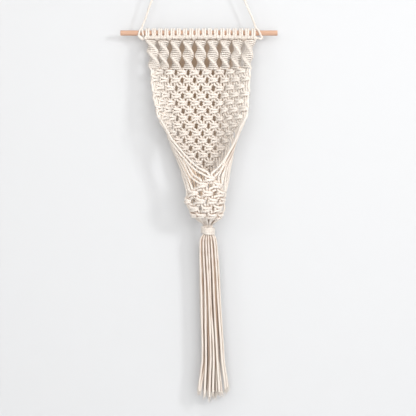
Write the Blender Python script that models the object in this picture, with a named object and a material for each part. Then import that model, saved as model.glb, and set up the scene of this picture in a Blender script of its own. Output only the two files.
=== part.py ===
"""A macrame wall pocket on a wooden dowel, with its hanging cord and a long tassel.

Sizes are in millimetres and are scaled to metres on the way into Blender. X runs along the dowel
to the right, Y runs back towards the wall, Z is up. The origin is where the hanging cord rests on
its nail, and a drop is a distance below it. Knots, bars and strands are made on one shared set of
corners, so the whole macrame body is a single closed solid.
"""

import math

import bmesh
import bpy
from mathutils import Vector

MM = 0.001

# Driving sizes, in millimetres
CORD = 4.0  # thickness of the cotton cord
GAP = 0.35  # room left between separate pieces

DOWEL_LENGTH = 300.0
DOWEL_DIAMETER = 10.0
DOWEL_MIDDLE = 11.5
DOWEL_DROP = 281.0

LOOPS = 18  # larks' heads along the dowel, two cords wide each
LOOP_PITCH = 11.85
LOOP_WIDTH = 8.0
LOOP_THICKNESS = 3.7
HEADER_MIDDLE = 14.6
HEADER_DEPTH = 12.0
HEADER_DROPS = (287.0, 290.2, 293.2, 296.4)

BARS = 9  # spiral sinnets
BAR_PITCH = 23.7
BAR_WIDTH = 20.2
BAR_THICKNESS = 12.4
BAR_BOTTOM = 350.5
BAR_RIDGES = 12

STRAND_WIDTH = 7.8  # a pair of cords side by side
STRAND_THICKNESS = 4.4
LINK_WIDTH = 10.4  # links of the rear net, which is cut at twice its real pitch

KNOT_WIDTH = 27.0
KNOT_HEIGHT = 16.5
KNOT_THICKNESS = 9.6
FRONT_KNOT_WIDTH = 21.5
FRONT_KNOT_HEIGHT = 12.0

NECK_DROPS = (642.0, 645.6, 648.6, 657.5, 661.0)
NECK_MIDDLE = (28.9, -17.0)
WRAP_DROPS = (649.5, 667.0)
WRAP_TURNS = 4

FRINGE_COLUMNS = 9
FRINGE_ROWS = 4
FRINGE_STRAND = 3.3
FRINGE_TOP = 677.0
FRINGE_END = 971.0
FRINGE_STEPS = 11

COTTON = (0.86, 0.79, 0.70, 1.0)
WOOD = (0.76, 0.55, 0.39, 1.0)

# The rear net seen from above at each drop: half of it to each side of its middle is flat, then
# bends forward on an arc, up to an angle in degrees, and then runs straight on.
SHEET_COLUMNS = (
    "drop",
    "middle",
    "back",
    "flat_left",
    "bend_left",
    "turn_left",
    "flat_right",
    "bend_right",
    "turn_right",
)
SHEET = (
    (286.0, 14.6, 0.0, 78.0, 22.0, 0.0, 60.0, 50.0, 0.0),
    (296.0, 14.6, 0.0, 76.0, 22.0, 8.0, 58.0, 50.0, 8.0),
    (323.0, 14.4, 0.0, 65.0, 22.0, 46.0, 52.0, 50.0, 40.0),
    (350.0, 14.6, 0.5, 64.5, 22.0, 60.0, 52.5, 50.0, 50.0),
    (371.0, 14.9, 1.5, 69.0, 22.0, 68.0, 48.5, 50.0, 60.0),
    (394.0, 15.3, 2.0, 68.0, 22.0, 75.0, 45.5, 50.0, 66.0),
    (415.0, 15.7, 2.0, 65.0, 22.0, 84.0, 42.0, 50.0, 72.0),
    (430.0, 16.4, 2.0, 61.0, 22.0, 90.0, 37.5, 50.0, 84.0),
    (444.0, 17.2, 2.0, 57.0, 22.0, 94.0, 36.0, 50.0, 90.0),
    (472.0, 18.2, 2.0, 54.0, 22.0, 94.0, 35.0, 50.0, 90.0),
    (501.0, 19.1, 1.5, 54.0, 22.0, 94.0, 35.0, 50.0, 90.0),
    (545.0, 20.5, 1.0, 54.0, 22.0, 94.0, 35.0, 50.0, 90.0),
)

# Knots of the rear net: drop of each row, and its places counted in bar pitches from the middle.
REAR_ROWS = (
    (363.5, (-4, -2, 0, 2, 4)),
    (393.5, (-3, -1, 1, 3)),
    (422.5, (-4, -2, 0, 2, 4)),
    (451.5, (-3, -1, 1, 3)),
    (480.0, (-2, 0, 2)),
    (508.5, (-1, 1)),
    (537.0, (0,)),
)

# Knots of the front net: x, y, drop and the turn of the knot about the vertical in degrees.
FRONT_KNOTS = {
    "top": (31.7, -68.0, 558.5, 0.0),
    "upper_left": (14.5, -67.0, 577.0, -12.0),
    "upper_right": (49.0, -67.0, 577.0, 12.0),
    "middle_left": (-3.5, -58.0, 595.5, -32.0),
    "middle": (30.0, -69.0, 595.5, 0.0),
    "middle_right": (57.0, -60.0, 595.5, 30.0),
    "lower_left": (12.0, -57.0, 612.5, -14.0),
    "lower_right": (42.0, -57.0, 612.5, 14.0),
    "bottom": (28.0, -46.5, 628.5, 0.0),
}

# Free strands round the sides of the pocket: x, y and drop of the points that each one passes.
RIM_LEFT = (
    (-62.5, -32.0, 442.0),
    (-53.0, -40.0, 462.0),
    (-39.0, -49.0, 484.0),
    (-23.0, -56.0, 502.0),
    (-5.0, -62.0, 522.0),
    (13.0, -66.5, 539.0),
)
RIM_RIGHT = (
    (99.0, -37.0, 442.0),
    (90.5, -43.0, 461.0),
    (81.0, -49.0, 482.0),
    (69.0, -55.0, 502.0),
    (57.0, -61.0, 521.0),
    (44.0, -66.0, 539.0),
)
SIDE_LEFT = (
    (-50.5, -22.0, 480.0),
    (-41.0, -35.0, 499.0),
    (-29.0, -47.0, 521.0),
    (-12.0, -58.0, 544.0),
    (3.0, -65.5, 562.0),
)
SIDE_RIGHT = (
    (84.0, -30.0, 480.0),
    (78.0, -40.0, 500.0),
    (70.0, -50.0, 522.0),
    (61.5, -60.0, 548.0),
)
LOW_LEFT = (
    (-37.0, -8.0, 502.0),
    (-36.0, -22.0, 521.0),
    (-27.0, -36.0, 545.0),
    (-17.5, -48.0, 572.0),
)
LOW_RIGHT = (
    (74.0, -10.0, 503.0),
    (77.0, -24.0, 522.0),
    (72.0, -40.0, 548.0),
    (67.0, -52.0, 574.0),
)
BACK_LEFT = (
    (-14.0, -1.0, 534.0),
    (-18.5, -9.0, 560.0),
    (-14.5, -16.0, 592.0),
    (0.0, -17.0, 622.0),
)
BACK_RIGHT = (
    (52.0, -1.0, 534.0),
    (60.5, -9.0, 560.0),
    (58.0, -16.0, 592.0),
    (48.0, -17.0, 622.0),
)

# The tassel: its middle and half width at each drop.
TASSEL_COLUMNS = ("drop", "middle", "back", "half_width", "half_depth")
TASSEL = (
    (667.0, 28.9, -17.0, 12.0, 9.0),
    (677.0, 28.9, -15.0, 15.2, 9.6),
    (700.0, 29.8, -9.0, 17.0, 10.4),
    (740.0, 31.6, -6.0, 17.6, 10.6),
    (800.0, 34.0, -5.0, 18.0, 10.8),
    (860.0, 37.4, -5.0, 19.8, 11.0),
    (905.0, 39.2, -5.0, 21.6, 11.6),
    (940.0, 39.0, -5.5, 25.5, 12.6),
    (975.0, 39.4, -6.0, 29.5, 13.6),
)


def table_value(columns, rows, name, drop):
    """The named column at a drop, straight between the two rows around it."""
    at = columns.index(name)
    if drop <= rows[0][0]:
        return rows[0][at]
    for upper, lower in zip(rows, rows[1:], strict=False):
        if drop <= lower[0]:
            part = (drop - upper[0]) / (lower[0] - upper[0])
            return upper[at] + part * (lower[at] - upper[at])
    return rows[-1][at]


def sheet_point(along, drop):
    """Place on the rear net and its direction along the row, at a distance along from the middle."""
    side = "right" if along > 0 else "left"
    sign = 1.0 if along > 0 else -1.0
    flat, bend, turn = (
        table_value(SHEET_COLUMNS, SHEET, f"{name}_{side}", drop)
        for name in ("flat", "bend", "turn")
    )
    turn = math.radians(turn)
    far = max(abs(along) - flat, 0.0)
    angle = min(far / bend, turn)
    rest = max(far - bend * turn, 0.0)
    across = min(abs(along), flat) + bend * math.sin(angle) + rest * math.cos(angle)
    forward = bend * (1 - math.cos(angle)) + rest * math.sin(angle)
    x = table_value(SHEET_COLUMNS, SHEET, "middle", drop) + sign * across
    y = table_value(SHEET_COLUMNS, SHEET, "back", drop) - forward
    width = Vector((math.cos(angle), -sign * math.sin(angle), 0.0))
    return Vector((x, y, -drop)), width


class Frame:
    """Where a block stands: its middle, its width direction, its outward depth and its up."""

    def __init__(self, middle, width, down=Vector((0.0, 0.0, -1.0))):
        self.middle = middle
        self.down = down.normalized()
        self.width = (width - self.down * width.dot(self.down)).normalized()
        self.depth = self.width.cross(self.down).normalized()

    def place(self, across, deep, below):
        return self.middle + self.width * across + self.depth * deep + self.down * below


class Port:
    """Four or more shared corners where a strand meets a block."""

    def __init__(self, ring, frame):
        self.ring = ring
        self.frame = frame


class Body:
    """One closed solid grown from blocks and strands that share their corners."""

    def __init__(self):
        self.points = []
        self.faces = []

    def point(self, place):
        self.points.append(place)
        return len(self.points) - 1

    def skin(self, upper, lower):
        """Side faces between two rings of the same number of corners."""
        count = len(upper)
        for i in range(count):
            j = (i + 1) % count
            self.faces.append((upper[i], lower[i], lower[j], upper[j]))

    def block(self, frame, columns, rows, levels, upper=(), lower=(), place=None):
        """A block of columns by rows cells, through its levels from top to bottom.

        Each level is (below, half width, half depth). upper and lower name the cells (column, row)
        that stay open as ports. Returns the ports of each end by cell. place may set the corners.
        """
        place = place or knot_corner
        edge = (
            [(i, 0) for i in range(columns + 1)]
            + [(columns, j) for j in range(1, rows)]
            + [(i, rows) for i in range(columns, -1, -1)]
            + [(0, j) for j in range(rows - 1, 0, -1)]
        )
        rings = []
        for number, level in enumerate(levels):
            rings.append(
                {
                    key: self.point(place(frame, key, columns, rows, level, number))
                    for key in edge
                }
            )
        for above, below in zip(rings, rings[1:], strict=False):
            self.skin([above[k] for k in edge], [below[k] for k in edge])
        ports = []
        for ring, level, number, opened in (
            (rings[0], levels[0], 0, upper),
            (rings[-1], levels[-1], len(levels) - 1, lower),
        ):
            corners = dict(ring)
            for i in range(1, columns):
                for j in range(1, rows):
                    corners[(i, j)] = self.point(
                        place(frame, (i, j), columns, rows, level, number)
                    )
            found = {}
            for i in range(columns):
                for j in range(rows):
                    cell = [
                        corners[(i, j)],
                        corners[(i + 1, j)],
                        corners[(i + 1, j + 1)],
                        corners[(i, j + 1)],
                    ]
                    if (i, j) in opened:
                        found[(i, j)] = Port(cell, frame)
                    else:
                        self.faces.append(tuple(cell))
            ports.append(found)
        return ports

    def middle(self, ring):
        return sum((self.points[k] for k in ring), Vector()) / len(ring)

    def strand(
        self, start, end, through=(), half_turn=False, width=STRAND_WIDTH, per=9.0
    ):
        """A flat strand from one port to another, past the points in through."""
        ring = list(end.ring)
        if half_turn:
            ring = ring[2:] + ring[:2]
        through = [Vector((x, y, -drop)) for x, y, drop in through]
        first, last = self.middle(start.ring), self.middle(ring)
        pull = (0.45 * (through[0] - first) if through else 0.2 * (last - first)).length
        stops = [first, first + start.frame.down * pull * 0.5]
        stops += through
        stops += [last - end.frame.down * pull * 0.5, last]
        route = smooth_route(stops, per)
        total = len(route) - 1
        outward_start = start.frame.depth
        outward_end = end.frame.depth * (-1.0 if half_turn else 1.0)
        before = start.ring
        for k in range(1, total):
            part = k / total
            along = (route[k + 1] - route[k - 1]).normalized()
            outward = side_direction(route[k], outward_start, outward_end, part, through)
            across = along.cross(outward).normalized()
            outward = across.cross(along).normalized()
            half, deep = width / 2, STRAND_THICKNESS / 2
            new = [
                self.point(route[k] + across * a * half + outward * b * deep)
                for a, b in ((-1, -1), (1, -1), (1, 1), (-1, 1))
            ]
            self.skin(before, new)
            before = new
        self.skin(before, ring)


def smooth_route(stops, per):
    """Points about per apart on a smooth curve through the stops (Catmull-Rom)."""
    ends = [stops[0] * 2 - stops[1]] + list(stops) + [stops[-1] * 2 - stops[-2]]
    route = [stops[0]]
    for a, b, c, d in zip(ends, ends[1:], ends[2:], ends[3:], strict=False):
        steps = max(1, round((c - b).length / per))
        for k in range(1, steps + 1):
            t = k / steps
            route.append(
                0.5
                * (
                    2 * b
                    + (c - a) * t
                    + (2 * a - 5 * b + 4 * c - d) * t * t
                    + (3 * b - a - 3 * c + d) * t**3
                )
            )
    return route


def side_direction(place, start, end, part, through):
    """The outward side of a strand: blended, and through the pocket's side where it wraps round."""
    if not through or start.dot(end) > 0.2:
        return start.lerp(end, part).normalized()
    core = Vector((24.0, -32.0, place.z))
    away = place - core
    away.z = 0.0
    away.normalize()
    if part < 0.2:
        return start.lerp(away, part / 0.2).normalized()
    if part > 0.8:
        return away.lerp(end, (part - 0.8) / 0.2).normalized()
    return away


def knot_corner(frame, key, columns, rows, level, number):
    """Corners of a rounded block: thickest in its middle columns."""
    below, half_width, half_depth = level
    u = 2 * key[0] / columns - 1
    v = 2 * key[1] / rows - 1
    return frame.place(half_width * u, half_depth * v * (1 - 0.32 * u * u), below)


def knot_levels(height, width, thickness, end_width):
    """A knot's three ridges: a narrower end, ridge, groove, ridge, groove, ridge, end."""
    shape = (
        (-0.50, end_width, 0.52),
        (-0.36, 0.90, 0.95),
        (-0.19, 0.80, 0.72),
        (0.0, 1.0, 1.0),
        (0.19, 0.80, 0.72),
        (0.36, 0.90, 0.95),
        (0.50, end_width, 0.52),
    )
    return [(z * height, w * width / 2, d * thickness / 2) for z, w, d in shape]


def finish(name, body, colour, roughness):
    """Turn points and faces into a mesh object with its own material, faces outward."""
    mesh = bpy.data.meshes.new(name)
    mesh.from_pydata([tuple(p * MM) for p in body.points], [], body.faces)
    work = bmesh.new()
    work.from_mesh(mesh)
    bmesh.ops.triangulate(work, faces=work.faces, quad_method="SHORT_EDGE")
    bmesh.ops.recalc_face_normals(work, faces=work.faces)
    work.to_mesh(mesh)
    work.free()
    made = bpy.data.objects.new(name, mesh)
    bpy.context.scene.collection.objects.link(made)
    paint(made, colour, roughness)
    return made


def paint(made, colour, roughness):
    material = bpy.data.materials.new(f"{made.name}_material")
    material.use_nodes = True
    shader = material.node_tree.nodes["Principled BSDF"]
    shader.inputs["Base Color"].default_value = colour
    shader.inputs["Roughness"].default_value = roughness
    made.data.materials.append(material)


def make_dowel():
    """A plain round rod along X with a small chamfer at each end."""
    body = Body()
    half, radius, sides = DOWEL_LENGTH / 2, DOWEL_DIAMETER / 2, 28
    rings = []
    for x, r in (
        (-half, radius - 0.8),
        (-half + 0.8, radius),
        (half - 0.8, radius),
        (half, radius - 0.8),
    ):
        rings.append(
            [
                body.point(
                    Vector(
                        (
                            DOWEL_MIDDLE + x,
                            r * math.sin(2 * math.pi * k / sides),
                            -DOWEL_DROP + r * math.cos(2 * math.pi * k / sides),
                        )
                    )
                )
                for k in range(sides)
            ]
        )
    for a, b in zip(rings, rings[1:], strict=False):
        body.skin(a, b)
    body.faces.append(tuple(rings[0]))
    body.faces.append(tuple(rings[-1]))
    return finish("dowel", body, WOOD, 0.6)


def round_dowel(x0, x1, from_degrees, to_degrees, steps, radius):
    """Points round the dowel: 0 degrees on top, 90 in front, 180 below, 270 behind."""
    found = []
    for k in range(steps + 1):
        part = k / steps
        angle = math.radians(from_degrees + part * (to_degrees - from_degrees))
        found.append(
            Vector(
                (
                    x0 + part * (x1 - x0),
                    -radius * math.sin(angle),
                    -DOWEL_DROP + radius * math.cos(angle),
                )
            )
        )
    return found


def line(start, end, steps):
    """Points strictly between start and end."""
    return [start.lerp(end, k / steps) for k in range(1, steps)]


def make_hanger():
    """The hanging cord: hitched at both ends of the dowel, over the nail at the origin."""
    radius = DOWEL_DIAMETER / 2 + CORD / 2 + GAP + 0.15
    left_end = HEADER_MIDDLE - LOOPS * LOOP_PITCH / 2 - 0.6
    right_end = HEADER_MIDDLE + LOOPS * LOOP_PITCH / 2 + 0.6
    route = [
        Vector((left_end, 0.0, -293.4)),
        Vector((left_end - 6.0, -0.8, -293.9)),
        Vector((left_end - 10.5, -2.0, -293.6)),
        Vector((left_end - 13.6, -3.8, -291.2)),
        Vector((left_end - 13.9, -5.6, -288.0)),
    ]
    route += round_dowel(-106.0, -102.0, 130.0, 0.0, 4, radius)
    route += round_dowel(-102.0, -95.6, 0.0, -180.0, 6, radius)[1:]
    route += round_dowel(-95.6, -97.2, -180.0, -345.0, 5, radius)[1:]
    top_left = [
        Vector((5.0 * math.sin(a), 0.0, -3.0 + 5.0 * math.cos(a)))
        for a in (math.radians(d) for d in (-70, -42, -14, 14, 42, 67))
    ]
    route += line(route[-1], top_left[0], 24)
    route += top_left
    wrap = round_dowel(122.6, 130.4, 15.0, 150.0, 5, radius)
    route += line(top_left[-1], wrap[0], 24)
    route += wrap
    route += [
        Vector((right_end + 10.6, -2.4, -290.6)),
        Vector((right_end + 9.4, -1.2, -293.0)),
        Vector((right_end + 5.5, -0.4, -293.8)),
        Vector((right_end, 0.0, -293.4)),
    ]
    curve = bpy.data.curves.new("hanging_cord", "CURVE")
    curve.dimensions = "3D"
    curve.bevel_depth = CORD / 2 * MM
    curve.bevel_resolution = 2
    curve.use_fill_caps = True
    curve.twist_mode = "MINIMUM"
    spline = curve.splines.new("POLY")
    spline.points.add(len(route) - 1)
    for place, point in zip(route, spline.points, strict=True):
        point.co = (*(place * MM), 1.0)
    made = bpy.data.objects.new("hanging_cord", curve)
    bpy.context.scene.collection.objects.link(made)
    paint(made, COTTON, 0.9)
    return made


def header_corner(frame, key, columns, rows, level, number):
    """The header bar's corners: a saw-toothed face, one slanted ridge under each loop."""
    below, _, half_depth = level
    i, j = key
    if i in (0, columns):
        x = LOOPS * LOOP_PITCH * i / columns
    else:
        pair, inside = divmod(i - 1, 2)
        x = pair * LOOP_PITCH + (LOOP_PITCH - LOOP_WIDTH) / 2 + inside * LOOP_WIDTH
    ridge = 0.78 if number in (1, 2) and i % 2 == 0 and 0 < i < columns else 1.0
    deep = half_depth * (2 * j / rows - 1) * ridge
    return frame.place(x - LOOPS * LOOP_PITCH / 2, deep, below)


def make_header(body):
    """The knotted header row. Its top carries the loops, its bottom the bars."""
    frame = Frame(Vector((HEADER_MIDDLE, 0.0, 0.0)), Vector((1.0, 0.0, 0.0)))
    columns = 2 * LOOPS + 1
    half = HEADER_DEPTH / 2
    levels = [
        (HEADER_DROPS[0], 0.0, half * 0.92),
        (HEADER_DROPS[1], 0.0, half),
        (HEADER_DROPS[2], 0.0, half * 0.86),
        (HEADER_DROPS[3], 0.0, half * 0.72),
    ]
    upper = {(2 * k + 1, j) for k in range(LOOPS) for j in (0, 1)}
    # the top is two rows deep, so that each loop has a front and a back port
    ring_keys = (
        [(i, 0) for i in range(columns + 1)]
        + [(columns, 1)]
        + [(i, 2) for i in range(columns, -1, -1)]
        + [(0, 1)]
    )
    rings = []
    for number, level in enumerate(levels):
        rings.append(
            {
                key: body.point(header_corner(frame, key, columns, 2, level, number))
                for key in ring_keys
            }
        )
    for above, below in zip(rings, rings[1:], strict=False):
        body.skin([above[k] for k in ring_keys], [below[k] for k in ring_keys])
    corners_top = dict(rings[0])
    for i in range(1, columns):
        corners_top[(i, 1)] = body.point(
            header_corner(frame, (i, 1), columns, 2, levels[0], 0)
        )
    loops = []
    for i in range(columns):
        cells = []
        for j in (0, 1):
            cell = [
                corners_top[(i, j)],
                corners_top[(i + 1, j)],
                corners_top[(i + 1, j + 1)],
                corners_top[(i, j + 1)],
            ]
            if (i, j) in upper:
                cells.append(cell)
            else:
                body.faces.append(tuple(cell))
        if cells:
            loops.append(cells)
    # bottom, one row deep, with three columns open over each bar
    low = rings[-1]
    bars = []
    i = 0
    while i < columns:
        if i % 4 == 1:
            bars.append(
                [low[(k, 0)] for k in range(i, i + 4)]
                + [low[(k, 2)] for k in range(i + 3, i - 1, -1)]
            )
            i += 3
            continue
        cell = [low[(i, 0)], low[(i + 1, 0)]]
        if i + 1 == columns:
            cell.append(low[(columns, 1)])
        cell += [low[(i + 1, 2)], low[(i, 2)]]
        if i == 0:
            cell.append(low[(0, 1)])
        body.faces.append(tuple(cell))
        i += 1
    return loops, bars


def make_loops(body, loops):
    """Each lark's head: a band of two cords from the header's front, over the dowel, to its back."""
    inner = (DOWEL_DIAMETER / 2 + GAP) / math.cos(math.radians(19.5))
    outer = inner + LOOP_THICKNESS
    for front, back in loops:
        x0 = body.points[front[0]].x
        x1 = body.points[front[1]].x
        before = front  # outer left, outer right, inner right, inner left
        for k in range(8):
            angle = math.radians(180.0 - (44.0 + 38.9 * k))
            lean = outer * (1.06 if k in (0, 7) else 1.0)
            new = []
            for x, r in ((x0, lean), (x1, lean), (x1, inner), (x0, inner)):
                new.append(
                    body.point(
                        Vector(
                            (
                                x,
                                -r * math.sin(angle),
                                -DOWEL_DROP + r * math.cos(angle),
                            )
                        )
                    )
                )
            body.skin(before, new)
            before = new
        # the back port: outer side away from the viewer
        body.skin(before, [back[3], back[2], back[1], back[0]])


def make_bar(body, ring, along):
    """One spiral sinnet: ridged, flat in section, turning once round on its way down."""
    steps = 2 * BAR_RIDGES
    top = HEADER_DROPS[3]
    before = ring
    for k in range(1, steps + 1):
        part = k / steps
        drop = top + part * (BAR_BOTTOM - top)
        middle, width = sheet_point(along, drop)
        turn = 2 * math.pi * part
        swell = 1.0 if k % 2 else 0.84
        if k == steps:
            swell = 0.8
        depth = width.cross(Vector((0.0, 0.0, -1.0)))
        new = []
        for i, j in (
            (0, 0), (1, 0), (2, 0), (3, 0), (3, 1), (2, 1), (1, 1), (0, 1),
        ):
            u, v = 2 * i / 3 - 1, 2 * j - 1
            a = u * (1.08 if abs(u) < 0.5 else 1.0) * BAR_WIDTH / 2 * swell
            b = v * (0.42 if abs(u) > 0.5 else 1.0) * BAR_THICKNESS / 2 * swell
            across = a * math.cos(turn) - b * math.sin(turn)
            deep = a * math.sin(turn) + b * math.cos(turn)
            new.append(body.point(middle + width * across + depth * deep))
        body.skin(before, new)
        before = new
    frame = Frame(middle, width)
    ports = {}
    for i in range(3):
        cell = [before[i], before[i + 1], before[6 - i], before[7 - i]]
        if i == 1:
            body.faces.append(tuple(cell))
        else:
            ports["left" if i == 0 else "right"] = Port(cell, frame)
    return ports


def make_rear_net(body, bars):
    """Rows of knots between the bars and the pocket's lowest rear knot. Returns its open ends."""
    free = {}
    knots = {}
    for number, (drop, places) in enumerate(REAR_ROWS):
        for place in places:
            middle, width = sheet_point(place * BAR_PITCH, drop)
            above, _ = sheet_point(place * BAR_PITCH, drop - 8)
            below, _ = sheet_point(place * BAR_PITCH, drop + 8)
            frame = Frame(middle, width, below - above)
            if number == 0:
                levels = knot_levels(13.5, 28.0, KNOT_THICKNESS, 0.94)
                opened = {(i, 0) for i in range(4)}
                if place == -4:
                    opened.remove((0, 0))
                if place == 4:
                    opened.remove((3, 0))
                upper, lower = body.block(
                    frame, 4, 1, levels, opened, {(0, 0), (3, 0)}
                )
                k = place + 4
                body.strand(bars[k]["left"], upper[(1, 0)], per=4.0)
                body.strand(bars[k]["right"], upper[(2, 0)], per=4.0)
                if place > -4:
                    body.strand(bars[k - 1]["right"], upper[(0, 0)], per=5.0)
                if place < 4:
                    body.strand(bars[k + 1]["left"], upper[(3, 0)], per=5.0)
                left, right = lower[(0, 0)], lower[(3, 0)]
            else:
                levels = knot_levels(KNOT_HEIGHT, KNOT_WIDTH, KNOT_THICKNESS, 0.78)
                upper, lower = body.block(
                    frame, 3, 1, levels, {(0, 0), (2, 0)}, {(0, 0), (2, 0)}
                )
                for side, cell in ((-1, (0, 0)), (1, (2, 0))):
                    inward, outward = ("right", "left") if side < 0 else ("left", "right")
                    if (number - 1, place + side) in knots:
                        end = knots[(number - 1, place + side)][inward]
                    else:  # down the net's edge, past one row
                        end = knots[(number - 2, place)][outward]
                    body.strand(end, upper[cell], width=LINK_WIDTH)
                left, right = lower[(0, 0)], lower[(2, 0)]
            knots[(number, place)] = {"left": left, "right": right}
    free["rim"] = (knots[(2, -4)]["left"], knots[(2, 4)]["right"])
    free["side"] = (knots[(3, -3)]["left"], knots[(3, 3)]["right"])
    free["low"] = (knots[(4, -2)]["left"], knots[(4, 2)]["right"])
    free["back"] = (knots[(5, -1)]["left"], knots[(5, 1)]["right"])
    free["last"] = (knots[(6, 0)]["left"], knots[(6, 0)]["right"])
    return free


def make_front_net(body, free):
    """The knotted front of the pocket. Its knots face outward, so their column 0 is on the right."""
    made = {}
    for name, (x, y, drop, turn) in FRONT_KNOTS.items():
        angle = math.radians(turn)
        width = Vector((-math.cos(angle), -math.sin(angle), 0.0))
        down = Vector((0.0, 0.0, -1.0))
        if drop > 600:
            down = Vector((0.0, 0.45, -1.0))
        frame = Frame(Vector((x, y, -drop)), width, down)
        levels = knot_levels(
            FRONT_KNOT_HEIGHT, FRONT_KNOT_WIDTH, KNOT_THICKNESS, 0.84
        )
        upper, lower = body.block(
            frame, 3, 1, levels, {(0, 0), (2, 0)}, {(0, 0), (2, 0)}
        )
        made[name] = {
            "in_right": upper[(0, 0)],
            "in_left": upper[(2, 0)],
            "out_right": lower[(0, 0)],
            "out_left": lower[(2, 0)],
        }
    body.strand(free["rim"][0], made["top"]["in_left"], RIM_LEFT)
    body.strand(free["rim"][1], made["top"]["in_right"], RIM_RIGHT)
    body.strand(free["side"][0], made["upper_left"]["in_left"], SIDE_LEFT)
    body.strand(free["side"][1], made["upper_right"]["in_right"], SIDE_RIGHT)
    body.strand(free["low"][0], made["middle_left"]["in_left"], LOW_LEFT)
    body.strand(free["low"][1], made["middle_right"]["in_right"], LOW_RIGHT)
    for upper, side, lower in (
        ("top", "left", "upper_left"),
        ("top", "right", "upper_right"),
        ("upper_left", "left", "middle_left"),
        ("upper_left", "right", "middle"),
        ("upper_right", "left", "middle"),
        ("upper_right", "right", "middle_right"),
        ("middle_left", "right", "lower_left"),
        ("middle", "left", "lower_left"),
        ("middle", "right", "lower_right"),
        ("middle_right", "left", "lower_right"),
        ("lower_left", "right", "bottom"),
        ("lower_right", "left", "bottom"),
    ):
        other = "right" if side == "left" else "left"
        body.strand(
            made[upper][f"out_{side}"], made[lower][f"in_{other}"], per=5.0
        )
    return (
        made["middle_left"]["out_left"],
        made["lower_left"]["out_left"],
        made["bottom"]["out_left"],
        made["bottom"]["out_right"],
        made["lower_right"]["out_right"],
        made["middle_right"]["out_right"],
    )


def make_neck(body, free, front):
    """All strands meet in the neck, which goes down into the gathering wrap."""
    frame = Frame(
        Vector((NECK_MIDDLE[0], NECK_MIDDLE[1], 0.0)), Vector((1.0, 0.0, 0.0))
    )
    levels = [
        (NECK_DROPS[0], 13.5, 10.5),
        (NECK_DROPS[1], 9.8, 9.0),
        (NECK_DROPS[2], 8.7, 8.1),
        (NECK_DROPS[3], 8.7, 8.1),
        (NECK_DROPS[4], 8.2, 7.6),
    ]
    opened = {(i, 0) for i in range(6)} | {(i, 1) for i in range(1, 5)}
    upper, _ = body.block(frame, 6, 2, levels, opened, (), neck_corner)
    routes = (
        ((-8.0, -47.0, 617.0), (4.0, -36.0, 632.0)),
        ((11.0, -44.0, 629.0),),
        (),
        (),
        ((44.5, -44.0, 629.0),),
        ((59.0, -48.0, 617.0), (51.0, -36.0, 632.0)),
    )
    for i, (port, through) in enumerate(zip(front, routes, strict=True)):
        body.strand(
            port, upper[(i, 0)], through, half_turn=True, width=5.4, per=6.0
        )
    body.strand(free["back"][0], upper[(1, 1)], BACK_LEFT, width=6.6)
    body.strand(free["back"][1], upper[(4, 1)], BACK_RIGHT, width=6.6)
    body.strand(
        free["last"][0], upper[(2, 1)], ((17.0, -1.0, 580.0), (22.0, -6.0, 620.0)), width=6.6
    )
    body.strand(
        free["last"][1], upper[(3, 1)], ((30.0, -1.0, 580.0), (33.0, -6.0, 620.0)), width=6.6
    )


def neck_corner(frame, key, columns, rows, level, number):
    """An oval section for the neck."""
    below, half_width, half_depth = level
    u = 2 * key[0] / columns - 1
    v = 2 * key[1] / rows - 1
    return frame.place(half_width * u, half_depth * v * (1 - 0.72 * u * u), below)


def make_macrame():
    body = Body()
    loops, rings = make_header(body)
    make_loops(body, loops)
    middle = (BARS - 1) / 2
    bars = [
        make_bar(body, ring, (k - middle) * BAR_PITCH) for k, ring in enumerate(rings)
    ]
    free = make_rear_net(body, bars)
    front = make_front_net(body, free)
    make_neck(body, free, front)
    return finish("macrame_pocket", body, COTTON, 0.9)


def make_wrap():
    """The gathering wrap: four turns of cord laid side by side, as one ridged ring."""
    body = Body()
    sides = 26
    profile = [(0.0, 0.6), (0.0, WRAP_DROPS[1] - WRAP_DROPS[0] - 0.6)]
    turn = (WRAP_DROPS[1] - WRAP_DROPS[0]) / WRAP_TURNS
    outer = []
    for k in range(WRAP_TURNS):
        for angle in (30, 90, 150):
            a = math.radians(angle)
            outer.append(
                (
                    1.4 + 2.4 * math.sin(a),
                    turn * (k + 0.5 - 0.5 * math.cos(a)),
                )
            )
    profile += outer[::-1]
    rings = []
    for k in range(sides):
        a = 2 * math.pi * k / sides
        ring = []
        for out, below in profile:
            slant = 1.1 * math.sin(a)
            ring.append(
                body.point(
                    Vector(
                        (
                            NECK_MIDDLE[0] + (9.5 + out) * math.cos(a),
                            NECK_MIDDLE[1] + (8.9 + out) * math.sin(a),
                            -(WRAP_DROPS[0] + below) + slant * math.cos(a) * 0.6,
                        )
                    )
                )
            )
        rings.append(ring)
    for k in range(sides):
        body.skin(rings[k], rings[(k + 1) % sides])
    return finish("gathering_wrap", body, COTTON, 0.9)


def tassel_corner(frame, key, columns, rows, level, number):
    """Corners of the tassel's head, as a lattice of strands and gaps at its foot."""
    drop, half_width, half_depth = level
    pairs, inside = divmod(key[0] + 1, 2)
    wide = FRINGE_STRAND / 2 * (1 if inside else -1)
    pitch_x = 2.0 / (FRINGE_COLUMNS - 1)
    pitch_y = 2.0 / (FRINGE_ROWS - 1)
    u = (key[0] // 2) * pitch_x - 1
    v = (key[1] // 2) * pitch_y - 1
    side_x = -1 if key[0] % 2 == 0 else 1
    side_y = -1 if key[1] % 2 == 0 else 1
    squeeze = 1 - (0.72, 0.72, 0.5, 0.36, 0.30)[number] * u * u
    middle = table_value(TASSEL_COLUMNS, TASSEL, "middle", drop)
    back = table_value(TASSEL_COLUMNS, TASSEL, "back", drop)
    strand = FRINGE_STRAND * min(1.0, half_width / 15.0) * 0.5
    x = middle + u * (half_width - strand) + side_x * strand
    y = back + v * (half_depth - strand) * squeeze + side_y * strand
    return Vector((x, y, -drop))


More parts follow.
